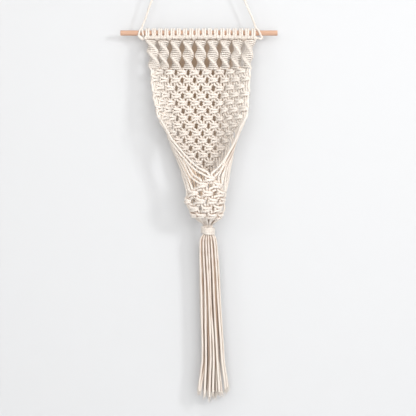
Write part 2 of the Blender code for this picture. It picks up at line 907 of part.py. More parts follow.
def make_tassel():
    """The tassel: its head under the neck, and thirty-six cords that hang from it."""
    body = Body()
    columns, rows = 2 * FRINGE_COLUMNS - 1, 2 * FRINGE_ROWS - 1
    frame = Frame(Vector((0.0, 0.0, 0.0)), Vector((1.0, 0.0, 0.0)))
    levels = [
        (661.6, 7.8, 6.9),
        (666.6, 8.3, 7.4),
        (669.6, 10.6, 8.6),
        (673.0, 13.4, 9.4),
        (FRINGE_TOP, 15.8, 10.2),
    ]
    opened = {
        (2 * i, 2 * j) for i in range(FRINGE_COLUMNS) for j in range(FRINGE_ROWS)
    }
    _, lower = body.block(frame, columns, rows, levels, (), opened, tassel_corner)
    for (i, j), port in lower.items():
        i, j = i // 2, j // 2
        u = 2 * i / (FRINGE_COLUMNS - 1) - 1
        v = 2 * j / (FRINGE_ROWS - 1) - 1
        key = i * 7 + j * 3
        end = FRINGE_END + 4.5 * math.sin(key * 1.7) + 2.0 * math.cos(key * 0.9)
        before = port.ring
        half = FRINGE_STRAND / 2
        for k in range(1, FRINGE_STEPS + 1):
            part = k / FRINGE_STEPS
            drop = FRINGE_TOP + part * (end - FRINGE_TOP)
            middle, back, wide, deep = (
                table_value(TASSEL_COLUMNS, TASSEL, name, drop)
                for name in ("middle", "back", "half_width", "half_depth")
            )
            squeeze = 1 - 0.30 * u * u
            wave = 0.25 * math.sin(3.0 * part * math.pi + 0.8 * i)
            x = middle + u * (wide - half) + wave * min(1.0, 4 * part)
            y = back + v * (deep - half) * squeeze
            new = [
                body.point(Vector((x + a * half, y + b * half, -drop)))
                for a, b in ((-1, -1), (1, -1), (1, 1), (-1, 1))
            ]
            body.skin(before, new)
            before = new
        body.faces.append(tuple(before))
    return finish("tassel", body, COTTON, 0.9)


def clear():
    for thing in list(bpy.data.objects):
        bpy.data.objects.remove(thing, do_unlink=True)


def main():
    clear()
    make_dowel()
    make_hanger()
    make_macrame()
    make_wrap()
    make_tassel()


main()
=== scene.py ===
"""A macrame wall pocket on a wooden dowel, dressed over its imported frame.

Eighteen doubled cords hang from the dowel. The line of each one is followed from one cut end, up
through the tassel, the knots of the pocket and a spiral column, round the dowel, and down again to
the other end. A laid cord is carried along that line, and its stretches are shared out among the
pieces. The tables and routes are in millimetres and are scaled to metres on the way into a mesh.
X runs along the dowel to the right, Y back towards the wall, Z up. The origin is where the hanging
cord rests on its nail, and a drop is a distance below it. A leg is one half of a doubled cord, and
the legs are numbered from left to right.
"""

import bpy
import numpy as np
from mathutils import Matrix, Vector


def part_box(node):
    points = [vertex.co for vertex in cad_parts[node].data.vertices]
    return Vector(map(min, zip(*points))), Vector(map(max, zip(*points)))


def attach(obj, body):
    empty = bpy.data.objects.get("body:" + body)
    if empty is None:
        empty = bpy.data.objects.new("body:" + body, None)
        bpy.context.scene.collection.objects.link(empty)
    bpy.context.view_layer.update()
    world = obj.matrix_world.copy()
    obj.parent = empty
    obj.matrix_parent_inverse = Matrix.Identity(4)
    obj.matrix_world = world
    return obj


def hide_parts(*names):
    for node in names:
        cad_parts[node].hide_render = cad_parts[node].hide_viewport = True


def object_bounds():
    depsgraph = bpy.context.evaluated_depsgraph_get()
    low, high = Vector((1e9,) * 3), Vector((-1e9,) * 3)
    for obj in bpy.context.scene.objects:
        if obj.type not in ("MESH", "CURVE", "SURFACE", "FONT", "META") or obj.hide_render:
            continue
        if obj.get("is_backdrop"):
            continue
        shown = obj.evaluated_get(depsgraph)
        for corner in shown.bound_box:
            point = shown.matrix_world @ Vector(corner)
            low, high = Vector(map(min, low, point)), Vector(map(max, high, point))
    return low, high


bl_info = {
    "name": "Macrame Wall Pocket",
    "version": (1, 0, 0),
    "blender": (4, 5, 0),
    "location": "3D View > Sidebar > Macrame",
    "description": "Makes the cords, knots and dowel of a wall pocket around its packed frame",
    "category": "Add Mesh",
}

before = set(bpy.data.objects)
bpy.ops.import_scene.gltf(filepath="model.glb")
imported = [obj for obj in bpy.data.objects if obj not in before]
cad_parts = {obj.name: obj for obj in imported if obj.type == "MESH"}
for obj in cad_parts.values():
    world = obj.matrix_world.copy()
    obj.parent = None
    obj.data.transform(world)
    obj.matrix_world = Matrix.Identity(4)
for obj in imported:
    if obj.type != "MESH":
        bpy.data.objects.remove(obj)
CAD_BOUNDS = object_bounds()

MM = 0.001
CORDS = 18
LEGS = 2 * CORDS
DOWEL_LOW, DOWEL_HIGH = (np.array(corner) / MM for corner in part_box("dowel"))
DOWEL_DROP = -(DOWEL_LOW[2] + DOWEL_HIGH[2]) / 2
DOWEL_RADIUS = (DOWEL_HIGH[2] - DOWEL_LOW[2]) / 2
DOWEL_ROUNDING = 0.8
DOWEL_GAP = 0.1

# The heading: a row of double half hitches under the dowel, a little lower at its two ends.
HEADING_MIDDLE = 14.6
HEADING_BACK = -5.3
HEADING_DROP = 289.0
HEADING_BOW = 2.2
HEADING_HALF = 106.0

# A double half hitch: its radius and the cord's, its first and last degrees and number of points,
# where it starts beside the middle of its lark's head, and how far it moves on in one turn.
HITCH_RADIUS = 3.0
HITCH_CORD_RADIUS = 1.75
HITCH_TURN = (-25.0, 412.0, 16)
HITCH_START = 1.6
HITCH_PITCH = 2.75

# Half of a lark's head: degrees round the dowel, and distance to the left of its middle. Then its
# bar behind and under the dowel: across, back and up from the dowel's axis.
LARK_DEGREES = np.array((112.0, 90.0, 60.0, 30.0, 0.0, -30.0, -60.0, -90.0, -115.0))
LARK_OFF = np.array((2.1, 2.1, 2.15, 2.15, 2.15, 2.15, 2.15, 2.3, 2.6))
LARK_BAR = np.array(((-1.9, 5.0, -6.0), (0.0, 4.6, -6.5)))
LARK_SWELL = 1.06
LARK_SWAY = 0.25

# The hanging cord's left hitch and right wrap round the dowel: places across and degrees, and the
# number of steps from each to the next. Then the steps of its two long rises, its bend over the
# nail, and its ends, which start a little outside the larks' heads and are the heading's core.
LEFT_HITCH = ((-103.4, 125.0), (-98.9, 0.0), (-93.8, -180.0), (-97.6, -345.0))
LEFT_HITCH_STEPS = (4, 6, 5)
RIGHT_WRAP = ((122.6, 15.0), (130.4, 150.0))
RIGHT_WRAP_STEPS = (5,)
RISE_STEPS = (12,)
NAIL_DEGREES = (-70.0, -42.0, -14.0, 14.0, 42.0, 67.0)
NAIL_BEND, NAIL_RISE = 5.0, -3.0
CORE_OUT, CORE_LENGTH, CORE_POINTS = 0.6, 60.0, 6
CORE_RADIUS, CORE_BEND_RADIUS = 1.7, 2.9

# The spiral columns, from just under the heading to the first row of the net. How much a worker
# hurries between its bars, and how far a filler lies beside the middle.
COLUMNS = CORDS // 2
COLUMN_TOP = 295.4
COLUMN_BOTTOM = 351.0
WORKER_HURRY = 0.8
COLUMN_FILLER = 1.9

# The rear net seen from above at each drop: its middle, its distance behind the dowel's axis, and
# on the left and on the right side how far it is flat, the radius on which it then bends forward,
# and the angle in degrees at which it runs straight on.
SHEET = np.array(
    (
        (286.0, 14.6, 0.0, 78.0, 25.0, 0.0, 60.0, 24.0, 0.0),
        (296.0, 14.6, 0.0, 74.0, 25.0, 12.0, 56.0, 24.0, 8.0),
        (323.0, 14.4, 0.0, 60.0, 25.0, 40.0, 46.0, 22.0, 30.0),
        (350.0, 14.6, 0.5, 60.0, 25.0, 47.0, 43.0, 20.0, 34.0),
        (371.0, 14.9, 1.5, 59.0, 25.0, 48.0, 41.0, 20.0, 36.0),
        (394.0, 15.3, 2.0, 52.0, 25.0, 47.0, 34.0, 20.0, 36.5),
        (415.0, 15.7, 2.0, 46.0, 25.0, 50.0, 30.0, 20.0, 38.0),
        (430.0, 16.4, 2.0, 43.0, 25.0, 55.0, 26.0, 20.0, 40.0),
        (444.0, 17.2, 2.0, 42.0, 25.0, 58.0, 26.0, 20.0, 43.0),
        (472.0, 18.2, 2.0, 42.0, 25.0, 62.0, 27.0, 22.0, 50.0),
        (501.0, 19.1, 1.5, 42.0, 25.0, 64.0, 28.0, 25.0, 55.0),
        (545.0, 20.5, 1.0, 42.0, 25.0, 64.0, 28.0, 25.0, 55.0),
    )
)

# Rows of the rear net: drop, the first leg that is knotted, and the number of knots. The edge legs
# run free past a row that starts with the third leg, at these distances from the net's middle in
# pitches. Edge knots are drawn in, and those past WIDE_FROM pitches grow wider over one pitch.
REAR_ROWS = (
    (356.2, 2, 8), (371.1, 0, 9), (386.6, 2, 8), (401.1, 0, 9), (415.6, 2, 8),
    (430.0, 0, 9), (444.3, 2, 8), (458.6, 4, 7), (472.6, 6, 6), (487.0, 8, 5),
    (501.0, 10, 4), (515.4, 12, 3), (530.0, 14, 2), (544.6, 16, 1),
)
PASSING_LEGS = ((0, -4.26), (1, -4.08), (34, 4.08), (35, 4.26))
EDGE_KNOT_WIDTH = 0.86
WIDE_FROM, WIDER = 1.8, 0.16
KNOT_TILT = 0.08

# Knots of the pocket's front, row by row: place across, drop, and its four legs from left to right.
# A knot is widest in the middle of the front and narrows with the angle towards the sides. Its way
# down is read FRONT_SLOPE above and below it.
FRONT_KNOTS = (
    (32.2, 561.3, (1, 0, 35, 34)),
    (18.5, 573.8, (3, 2, 1, 0)), (45.2, 574.4, (35, 34, 33, 32)),
    (1.8, 588.4, (5, 4, 3, 2)), (28.4, 588.4, (1, 0, 35, 34)), (52.4, 588.4, (33, 32, 31, 30)),
    (-8.4, 602.2, (7, 6, 5, 4)), (14.9, 601.9, (3, 2, 1, 0)),
    (38.0, 601.9, (35, 34, 33, 32)), (53.8, 601.2, (31, 30, 29, 28)),
    (3.7, 615.2, (5, 4, 3, 2)), (26.5, 615.6, (1, 0, 35, 34)), (47.2, 615.2, (33, 32, 31, 30)),
    (3.6, 627.0, (7, 6, 5, 4)), (16.2, 627.8, (3, 2, 1, 0)),
    (36.0, 627.8, (35, 34, 33, 32)), (49.0, 628.5, (31, 30, 29, 28)),
)
FRONT_KNOT_WIDTH, FRONT_NARROWS = 22.2, 4.2
NARROWS_FROM, NARROWS_OVER = 135.0, 30.0
FRONT_KNOT_HEIGHT = 0.96
FRONT_SWELL = 1.12
FRONT_SLOPE = 6.0

# The pocket as a row of ovals: drop, its leftmost and rightmost cord, its rear and its front.
OVAL = np.array(
    (
        (425.0, -67.0, 101.5, 2.0, -68.0),
        (437.6, -60.6, 97.9, 2.0, -68.0),
        (456.7, -53.2, 88.8, 2.0, -68.0),
        (472.0, -44.7, 85.0, 2.0, -68.0),
        (485.0, -40.9, 81.2, 2.0, -68.0),
        (504.5, -35.2, 77.4, 2.0, -68.0),
        (523.6, -27.7, 73.7, 2.0, -68.0),
        (542.7, -21.1, 70.3, 2.0, -68.0),
        (561.8, -16.4, 66.8, 1.5, -68.5),
        (581.0, -13.5, 62.7, 0.5, -70.0),
        (594.3, -11.7, 59.9, -0.5, -69.0),
        (605.8, -12.6, 57.8, -2.0, -66.5),
        (619.2, -7.0, 55.6, -3.5, -60.0),
        (628.7, -1.3, 53.0, -5.0, -53.0),
        (640.0, 8.0, 47.0, -7.0, -41.0),
        (647.0, 14.5, 41.5, -8.0, -30.0),
        (652.0, 17.5, 40.0, -8.5, -26.0),
    )
)

# The way of each pair that wraps to the front, rim first, and then of each pair that stays behind:
# its drop and its place across, on the left (-1) and on the right side (1).
LEFT_RIM = (
    (452.0, -54.0), (468.0, -47.0), (484.0, -40.5), (500.0, -29.5),
    (517.0, -17.0), (531.0, -5.0), (545.0, 11.0), (553.5, 21.0),
)
RIGHT_RIM = (
    (445.0, 99.5), (463.5, 92.0), (486.0, 82.0), (505.0, 73.6),
    (523.5, 63.3), (538.5, 54.0), (553.0, 42.5),
)
FRONT_PAIRS = {
    -1: (
        LEFT_RIM,
        ((531.0, -13.6), (544.0, -7.7), (555.0, -1.2), (569.0, 8.1)),
        ((529.0, -25.4), (548.0, -16.1), (561.0, -9.5), (577.0, 0.7)),
        ((516.0, -33.0), (536.0, -24.6), (554.0, -17.4), (572.0, -10.8), (588.0, -7.0)),
    ),
    1: (
        RIGHT_RIM,
        ((528.0, 62.0), (544.4, 55.7), (559.4, 50.1), (569.0, 48.2)),
        ((535.0, 63.1), (548.0, 60.7), (567.0, 57.2), (578.0, 54.7)),
        ((535.0, 69.7), (554.0, 67.8), (572.5, 65.0), (591.0, 61.3)),
    ),
}
REAR_PAIRS = {
    -1: (
        ((545.0, -16.0), (570.0, -7.0)), ((545.0, -9.5), (570.0, -1.0)),
        ((545.0, -3.0), (570.0, 5.0)), ((570.0, 12.0),), ((570.0, 19.0),),
    ),
    1: (
        ((545.0, 60.0), (570.0, 54.0)), ((545.0, 55.0), (570.0, 49.0)),
        ((545.0, 49.0), (570.0, 44.0)), ((570.0, 40.0),), ((570.0, 35.0),),
    ),
}

# The distance between a free cord's points, how far its way stays clear of its knots, how far it
# lies from the middle of its pair, and how much a pair spreads on its way down and sways.
SIDE_STEP = 12.0
WAY_CLEAR = 6.0
PAIR_HALF, PAIR_SPREAD, PAIR_SWAY = 2.45, 0.35, 0.25

# The inside of the pouch's rear, which gets a painted warm shade: the drops between which it shows
# and the lowest one of the rim, and the widths of the ramps across the rim, at the top and bottom,
# and back from the middle.
INSIDE_TOP, INSIDE_BOTTOM, RIM_BOTTOM = 470.0, 645.0, 545.0
RIM_RAMP, END_RAMP, REAR_RAMP = 16.0, 15.0, 12.0
INSIDE_GAIN = 1.5

# The neck inside the gathering wrap: its middle, the drop of its top, its rings and their shares of
# the width and depth, the radius under which a ring is an inner one, the distance between a cord's
# points, how far every sixth cord dips, and the cords' radius above and under the wrap.
NECK = (28.9, -17.0)
NECK_DROP = 649.0
NECK_RINGS = (7.4, 4.9, 7.4, 4.9, 7.4, 2.4)
NECK_WIDE, NECK_DEEP = 1.02, 0.96
NECK_INNER = 7.0
NECK_STEP = 9.0
NECK_DIP = 0.25
NECK_SWELL = 1.15
NECK_RADIUS_ABOVE, NECK_RADIUS = 1.45, 1.4
NECK_BELOW = (0.0, -6.0, -11.0)

# The gathering wrap: its first and last drop, its half width and half depth, its turns, where the
# first one starts, how much they slant, and its start and end: the share of it that is tucked in,
# how far inward, and for the end how far up.
WRAP_DROPS = (651.6, 665.2)
WRAP_WIDE, WRAP_DEEP = 11.3, 10.7
WRAP_TURNS, WRAP_START, WRAP_POINTS = 4.12, 0.42, 74
WRAP_SLANT, WRAP_SLANT_FROM = 0.7, 0.6
WRAP_SWELL = 0.05
TUCKED_START, TUCK_START_IN = 0.03, 3.0
TUCKED_END, TUCK_END_IN, TUCK_END_UP = 0.045, 3.4, 2.2

# The tassel: drop, middle, back, half width and half depth.
TASSEL = np.array(
    (
        (661.0, 28.9, -17.0, 7.4, 7.0),
        (666.0, 28.9, -16.8, 9.0, 7.6),
        (670.0, 28.9, -16.2, 12.4, 8.8),
        (677.0, 28.9, -15.0, 14.4, 9.8),
        (700.0, 29.8, -10.0, 16.2, 10.4),
        (740.0, 31.8, -7.0, 16.8, 10.6),
        (791.0, 33.9, -5.6, 17.2, 10.8),
        (867.0, 37.9, -5.4, 19.2, 11.2),
        (906.0, 38.9, -5.4, 20.6, 11.8),
        (925.0, 38.8, -5.5, 23.4, 12.4),
        (944.0, 38.7, -5.7, 26.4, 13.0),
        (965.0, 38.7, -6.0, 28.6, 13.4),
        (980.0, 38.8, -6.0, 29.0, 13.6),
    )
)

# The tassel's strands: the places of their six columns as shares of the half width, how far every
# other row stands to the right, how far a strand may stray, the drops of its first points and of
# the even ones that follow, its radius under the wrap and its swelling below.
STRAND_COLUMNS = (-1.0, -0.6, -0.24, 0.09, 0.42, 0.8)
STRAND_SHIFT = 0.17
STRAND_STRAY = 0.045
STRAND_DROPS = (666.0, 671.0, 678.0, 690.0)
STRAND_EVEN_FROM, STRAND_EVEN_POINTS = 706.0, 16
STRAND_WRAPPED_RADIUS = 1.5
STRAND_SWELL = 1.15
STRAND_SIDES_THIN = 0.35

# How far the middle ends hang below the setting, how far the outer ones rise above them, and the
# spread of the unevenness.
END_LOW, END_RISE, END_SPREAD = 2.0, 9.0, 0.55

# The strands' waves: the drop where they start, their size there and how it grows, and of each its
# share and its radians down the tassel: two across that a column shares, one that is the strand's
# own, and one in depth.
WAVE_FROM = 670.0
WAVE_SIZE, WAVE_GROWS, WAVE_POWER = 0.4, 1.5, 1.3
WAVES_ACROSS = ((0.55, 5.2), (0.35, 10.0), (0.5, 8.0))
WAVE_IN_DEPTH = (0.8, 6.4)

# The loose threads at each cut end: how many, their points, their radius and the share of it that
# is lost on the way, how far inside the strand they start, and the least and greatest share of the
# fray's length, distance from the strand's middle and lean.
THREADS, THREAD_POINTS = 14, 6
THREAD_RADIUS, THREAD_TAPER = 0.4, 0.6
THREAD_INSIDE = 3.0
THREAD_SHARE, THREAD_START, THREAD_LEAN = (0.35, 1.0), (0.2, 1.7), (-0.4, 4.6)

# The cords of a square knot, of each worker the upper half: across, out and down, and the share of
# the radius, since a worker is squeezed where it leaves the knot and swells in its bars. The left
# worker makes the two front bars, the right one the bump at the left side between them, and the
# fillers run straight.
LEFT_WORKER = (
    (-7.0, 0.6, -5.2, 0.9), (-6.2, 2.2, -4.1, 0.95), (-3.4, 4.1, -2.8, 1.02),
    (1.0, 4.9, -2.3, 1.06), (5.0, 3.0, -1.9, 1.02), (6.4, -0.9, 0.0, 0.96),
)
RIGHT_WORKER = (
    (7.0, 0.2, -5.2, 0.9), (6.4, -0.6, -4.1, 0.95), (3.8, -3.0, -3.0, 1.02),
    (0.0, -4.4, -2.4, 1.06), (-4.9, -1.8, -1.6, 1.02), (-6.5, 1.9, 0.0, 0.96),
)
FILLER = np.array(
    ((0.0, 0.4, -8.1, 0.9), (0.0, 0.0, -3.0, 0.9), (0.0, 0.0, 3.0, 0.9), (0.0, 0.4, 8.1, 0.9))
)
FILLER_OFF = (1.95, 0.0, 0.0, 0.0)

# A square knot's width as drawn here, half its height, and how much its cords lean to one side
# above its middle and to the other below it.
KNOT_WIDTH = 18.4
KNOT_HALF = 7.0
KNOT_LEAN = 0.3

# How much painted shade the cords of each piece get deep between them, for how much they shut out
# the light: long strands side by side do so more than knots with holes between them.
CLOSENESS = {
    "heading_hitches": 0.9,
    "spiral_columns": 0.85,
    "rear_net_knots": 0.62,
    "side_cords": 0.95,
    "front_net_knots": 0.74,
    "tassel_strands": 1.2,
    "tassel_loose_threads": 0.2,
}

# The numbers in the map of the cords that aren't among the eighteen.
HANGING_NUMBER, WRAP_NUMBER, THREAD_NUMBER = 40, 41, 50

KNOT_SEED, THREAD_SEED = 7, 19

# The stage in metres: the camera's place across and up, the wall's distance behind the object, the
# edges of the wall and floor, the colours of the lights and the sky, the place that the lights aim
# at, and of each light the setting that gives its power, its share of that, its size and its place.
CAMERA_PLACE = (0.0287, -0.6153)
WALL_GAP = 0.019
WALL_SIDE, WALL_LOW, WALL_HIGH = 2.5, -2.6, 1.3
FLOOR_NEAR, FLOOR_HEIGHT = -3.5, -1.6
LIGHT_COLOUR = (0.96, 0.98, 1.0)
SKY_COLOUR, SKY_STRENGTH = (1.0, 0.93, 0.87), 0.5
LIGHTS_AIM = np.array((0.0, 0.0, -0.5))
LIGHTS = {
    "key": ("key", 1.0, 0.45, (1.61, -1.92, 0.1)),
    "second": ("key", 0.28, 0.6, (-1.67, -1.86, 0.1)),
    "front": ("fill", 1.0, 2.6, (0.2, -2.7, -0.3)),
    "above": ("fill", 0.25, 2.0, (0.2, -1.2, 1.5)),
    "behind": ("fill", 0.6, 2.4, (0.4, 2.2, 0.2)),
}


# ---------------------------------------------------------------- settings


class CordSettings(bpy.types.PropertyGroup):
    """Sizes and colours of the cotton cord."""

    thickness: bpy.props.FloatProperty(
        name="Thickness",
        description="Thickness of the cord where it runs free",
        default=0.004,
        unit="LENGTH",
    )
    knot_thickness: bpy.props.FloatProperty(
        name="Knot Thickness",
        description="Thickness of the cord where it is knotted",
        default=0.0047,
        unit="LENGTH",
    )
    lay: bpy.props.FloatProperty(
        name="Lay",
        description="Length in which the three plies turn once round",
        default=0.0115,
        unit="LENGTH",
    )
    step: bpy.props.FloatProperty(
        name="Step",
        description="Distance between two rings of a cord's mesh",
        default=0.0015,
        unit="LENGTH",
    )
    light: bpy.props.FloatVectorProperty(
        name="Cotton",
        description="Colour of the cotton on the plies' crowns",
        default=(0.87, 0.82, 0.76),
        subtype="COLOR",
    )
    # Painted shade: this darker colour stands for the shade in the grooves between the plies.
    dark: bpy.props.FloatVectorProperty(
        name="Grooves",
        description="Colour of the cotton between the plies",
        default=(0.70, 0.58, 0.475),
        subtype="COLOR",
    )
    # Painted shade: this brown stands for the shade deep between the cords.
    painted_nook_shade: bpy.props.FloatVectorProperty(
        name="Nooks",
        description="Colour of the cotton deep between the cords",
        default=(0.41, 0.25, 0.155),
        subtype="COLOR",
    )
    # Painted shade: this warm colour stands for shade and warm light bounced inside the pouch.
    inside: bpy.props.FloatVectorProperty(
        name="Inside",
        description="Colour of the cotton on the inner side of the pouch's rear",
        default=(0.87, 0.68, 0.51),
        subtype="COLOR",
    )


class DowelSettings(bpy.types.PropertyGroup):
    """Sizes and colours of the dowel."""

    length: bpy.props.FloatProperty(
        name="Length",
        description="Length of the dowel",
        default=(DOWEL_HIGH[0] - DOWEL_LOW[0]) * MM,
        unit="LENGTH",
    )
    diameter: bpy.props.FloatProperty(
        name="Diameter",
        description="Thickness of the dowel",
        default=(DOWEL_HIGH[2] - DOWEL_LOW[2]) * MM,
        unit="LENGTH",
    )
    light: bpy.props.FloatVectorProperty(
        name="Early Wood",
        description="Colour of the pale grain",
        default=(0.60, 0.375, 0.26),
        subtype="COLOR",
    )
    dark: bpy.props.FloatVectorProperty(
        name="Late Wood",
        description="Colour of the dark grain",
        default=(0.46, 0.255, 0.165),
        subtype="COLOR",
    )
    pores: bpy.props.FloatVectorProperty(
        name="Pores",
        description="Colour of the small pores",
        default=(0.36, 0.2, 0.12),
        subtype="COLOR",
    )


class HeadingSettings(bpy.types.PropertyGroup):
    """Sizes of the row that is knotted onto the dowel."""

    pitch: bpy.props.FloatProperty(
        name="Pitch",
        description="Distance from one lark's head to the next",
        default=0.01185,
        unit="LENGTH",
    )


class ColumnSettings(bpy.types.PropertyGroup):
    """Sizes of the spiral columns."""

    half_knots: bpy.props.IntProperty(
        name="Half Knots",
        description="Half knots in a column; an even number",
        default=14,
        min=2,
    )
    thickness: bpy.props.FloatProperty(
        name="Thickness",
        description="Thickness of the cord in a column",
        default=0.0033,
        unit="LENGTH",
    )
    width: bpy.props.FloatProperty(
        name="Width",
        description="Width of a half knot seen from its flat side",
        default=0.0228,
        unit="LENGTH",
    )
    depth: bpy.props.FloatProperty(
        name="Depth",
        description="Depth of a half knot seen from its narrow side",
        default=0.0136,
        unit="LENGTH",
    )


class NetSettings(bpy.types.PropertyGroup):
    """Sizes of the nets of square knots."""

    pitch: bpy.props.FloatProperty(
        name="Pitch",
        description="Distance from one knot to the next in a row",
        default=0.0237,
        unit="LENGTH",
    )
    knot_width: bpy.props.FloatProperty(
        name="Knot Width",
        description="Width of a square knot in the rear net",
        default=0.0208,
        unit="LENGTH",
    )
    wander: bpy.props.FloatProperty(
        name="Wander",
        description="How far a knot may sit from its even place",
        default=0.0007,
        unit="LENGTH",
    )


class TasselSettings(bpy.types.PropertyGroup):
    """Sizes of the tassel."""

    bottom: bpy.props.FloatProperty(
        name="Bottom",
        description="Drop of the strands' cut ends below the nail",
        default=0.9665,
        unit="LENGTH",
    )
    uneven: bpy.props.FloatProperty(
        name="Unevenness",
        description="How far an end may be above or below the others",
        default=0.006,
        unit="LENGTH",
    )
    fray: bpy.props.FloatProperty(
        name="Fray",
        description="Length of the loose threads at a cut end",
        default=0.011,
        unit="LENGTH",
    )


class StageSettings(bpy.types.PropertyGroup):
    """The wall, floor, light and camera."""

    wall: bpy.props.FloatVectorProperty(
        name="Wall",
        description="Colour of the plain wall",
        default=(0.628, 0.634, 0.641),
        subtype="COLOR",
    )
    # Painted shade: this brown stands for shade and light bounced off the cotton where cords close
    # in on the wall.
    closed: bpy.props.FloatVectorProperty(
        name="Closed Wall",
        description="Colour of the wall where cords close in on it",
        default=(0.60, 0.44, 0.31),
        subtype="COLOR",
    )
    # Reach of the painted shade on the wall.
    painted_shade_reach: bpy.props.FloatProperty(
        name="Closing Reach",
        description="Distance within which cords close in on the wall",
        default=0.085,
        unit="LENGTH",
    )
    distance: bpy.props.FloatProperty(
        name="Camera Distance",
        description="Distance of the camera in front of the dowel",
        default=2.2,
        unit="LENGTH",
    )
    span: bpy.props.FloatProperty(
        name="View Width",
        description="Width of the view at the dowel",
        default=0.795,
        unit="LENGTH",
    )
    key: bpy.props.FloatProperty(
        name="Key Light",
        description="Power of the light at the right",
        default=18.7,
        unit="POWER",
    )
    fill: bpy.props.FloatProperty(
        name="Fill Light",
        description="Power of the large light in front",
        default=51.5,
        unit="POWER",
    )


class MacrameSettings(bpy.types.PropertyGroup):
    """All settings of the wall pocket."""

    cord: bpy.props.PointerProperty(type=CordSettings)
    dowel: bpy.props.PointerProperty(type=DowelSettings)
    heading: bpy.props.PointerProperty(type=HeadingSettings)
    columns: bpy.props.PointerProperty(type=ColumnSettings)
    net: bpy.props.PointerProperty(type=NetSettings)
    tassel: bpy.props.PointerProperty(type=TasselSettings)
    stage: bpy.props.PointerProperty(type=StageSettings)


# ---------------------------------------------------------------- surfaces


def unit(vectors):
    """Each vector divided by its own length."""
    return vectors / np.linalg.norm(vectors, axis=-1, keepdims=True)


def at_drop(table, drop):
    """Each column of a table after its drops, read straight between its rows."""
    return [np.interp(drop, table[:, 0], column) for column in table.T[1:]]


def ramp(values):
    """The values, but not below 0 or above 1."""
    return np.clip(values, 0.0, 1.0)


def eased(part):
    """A share that starts and ends gently: three times its square less twice its cube."""
    return part * part * (3 - 2 * part)


def smooth_line(points, step):
    """Rows read along a smooth line through the points, about one step apart.

    Between two points runs the cubic whose slopes at its ends are the means of the straight slopes
    on both sides, each weighted with the length of the other side. Columns past the third, such as
    a radius, are carried along in the same way. Returns the rows and where each point lies on them.
    """
    chord = np.linalg.norm(np.diff(points[:, :3], axis=0), axis=1)
    at = np.concatenate(([0.0], np.cumsum(chord)))
    straight = np.diff(points, axis=0) / chord[:, None]
    inner = straight[:-1] * chord[1:, None] + straight[1:] * chord[:-1, None]
    inner /= (chord[1:] + chord[:-1])[:, None]
    slope = np.vstack((straight[:1], inner, straight[-1:]))
    count = max(3, int(round(at[-1] / step)))
    place = np.linspace(0.0, at[-1], count + 1)
    i = np.clip(np.searchsorted(at, place, side="right") - 1, 0, len(chord) - 1)
    h = chord[i][:, None]
    t = (place - at[i])[:, None] / h
    rows = (2 * t**3 - 3 * t**2 + 1) * points[i] + (t**3 - 2 * t**2 + t) * h * slope[i]
    rows += (3 * t**2 - 2 * t**3) * points[i + 1] + (t**3 - t**2) * h * slope[i + 1]
    return rows, np.rint(at / at[-1] * count).astype(int)


def turned_after(first, second):
    """Quaternion product: the turn of the second, followed by the turn of the first."""
    w = first[:, :1] * second[:, :1] - np.sum(first[:, 1:] * second[:, 1:], axis=1)[:, None]
    v = first[:, :1] * second[:, 1:] + second[:, :1] * first[:, 1:]
    v += np.cross(first[:, 1:], second[:, 1:])
    return np.hstack((w, v))


def carried_sides(along):
    """Two side directions carried along a line without twist.

    The turn from each direction of the line to the next is a quaternion. Their running product, by
    doubling, turns the first pair of sides into all the others.
    """
    turns = np.zeros((len(along), 4))
    turns[0, 0] = 1.0
    turns[1:, 0] = 1.0 + np.sum(along[:-1] * along[1:], axis=1)
    turns[1:, 1:] = np.cross(along[:-1], along[1:])
    turns = unit(turns)
    reach = 1
    while reach < len(turns):
        turns[reach:] = turned_after(turns[reach:], turns[:-reach])
        reach *= 2
    least = np.eye(3)[np.argmin(np.abs(along[0]))]
    first = unit(np.cross(along[0], least))
    w, v = turns[:, :1], turns[:, 1:]
    spun = np.cross(v, np.broadcast_to(first, v.shape))
    side = first + 2 * (w * spun + np.cross(v, spun))
    side = unit(side - along * np.sum(side * along, axis=1)[:, None])
    return side, np.cross(along, side)


def cord_rings(points, settings, sides=9, lobes=3, depth=0.12):
    """Rings of a laid cord along a smooth line.

    A ring's corner lies at the line's radius times one plus the depth times the cosine of lobes
    times its angle round the cord, and the ring turns once on its way in each lay. Returns the
    rings, their lengths along the line, and the ring at which each of the points lies.
    """
    rows, found = smooth_line(points, settings.step / MM)
    places, radius = rows[:, :3], rows[:, 3]
    along = unit(np.gradient(places, axis=0))
    side, other = carried_sides(along)
    steps = np.linalg.norm(np.diff(places, axis=0), axis=1)
    lengths = np.concatenate(([0.0], np.cumsum(steps)))
    spoke = 2 * np.pi * np.arange(sides) / sides
    shape = 1 + depth * np.cos(lobes * spoke)
    angle = spoke + 2 * np.pi * lengths[:, None] / (settings.lay / MM)
    out = np.cos(angle)[..., None] * side[:, None] + np.sin(angle)[..., None] * other[:, None]
    rings = places[:, None] + out * (radius[:, None] * shape)[..., None]
    return rings, lengths, found


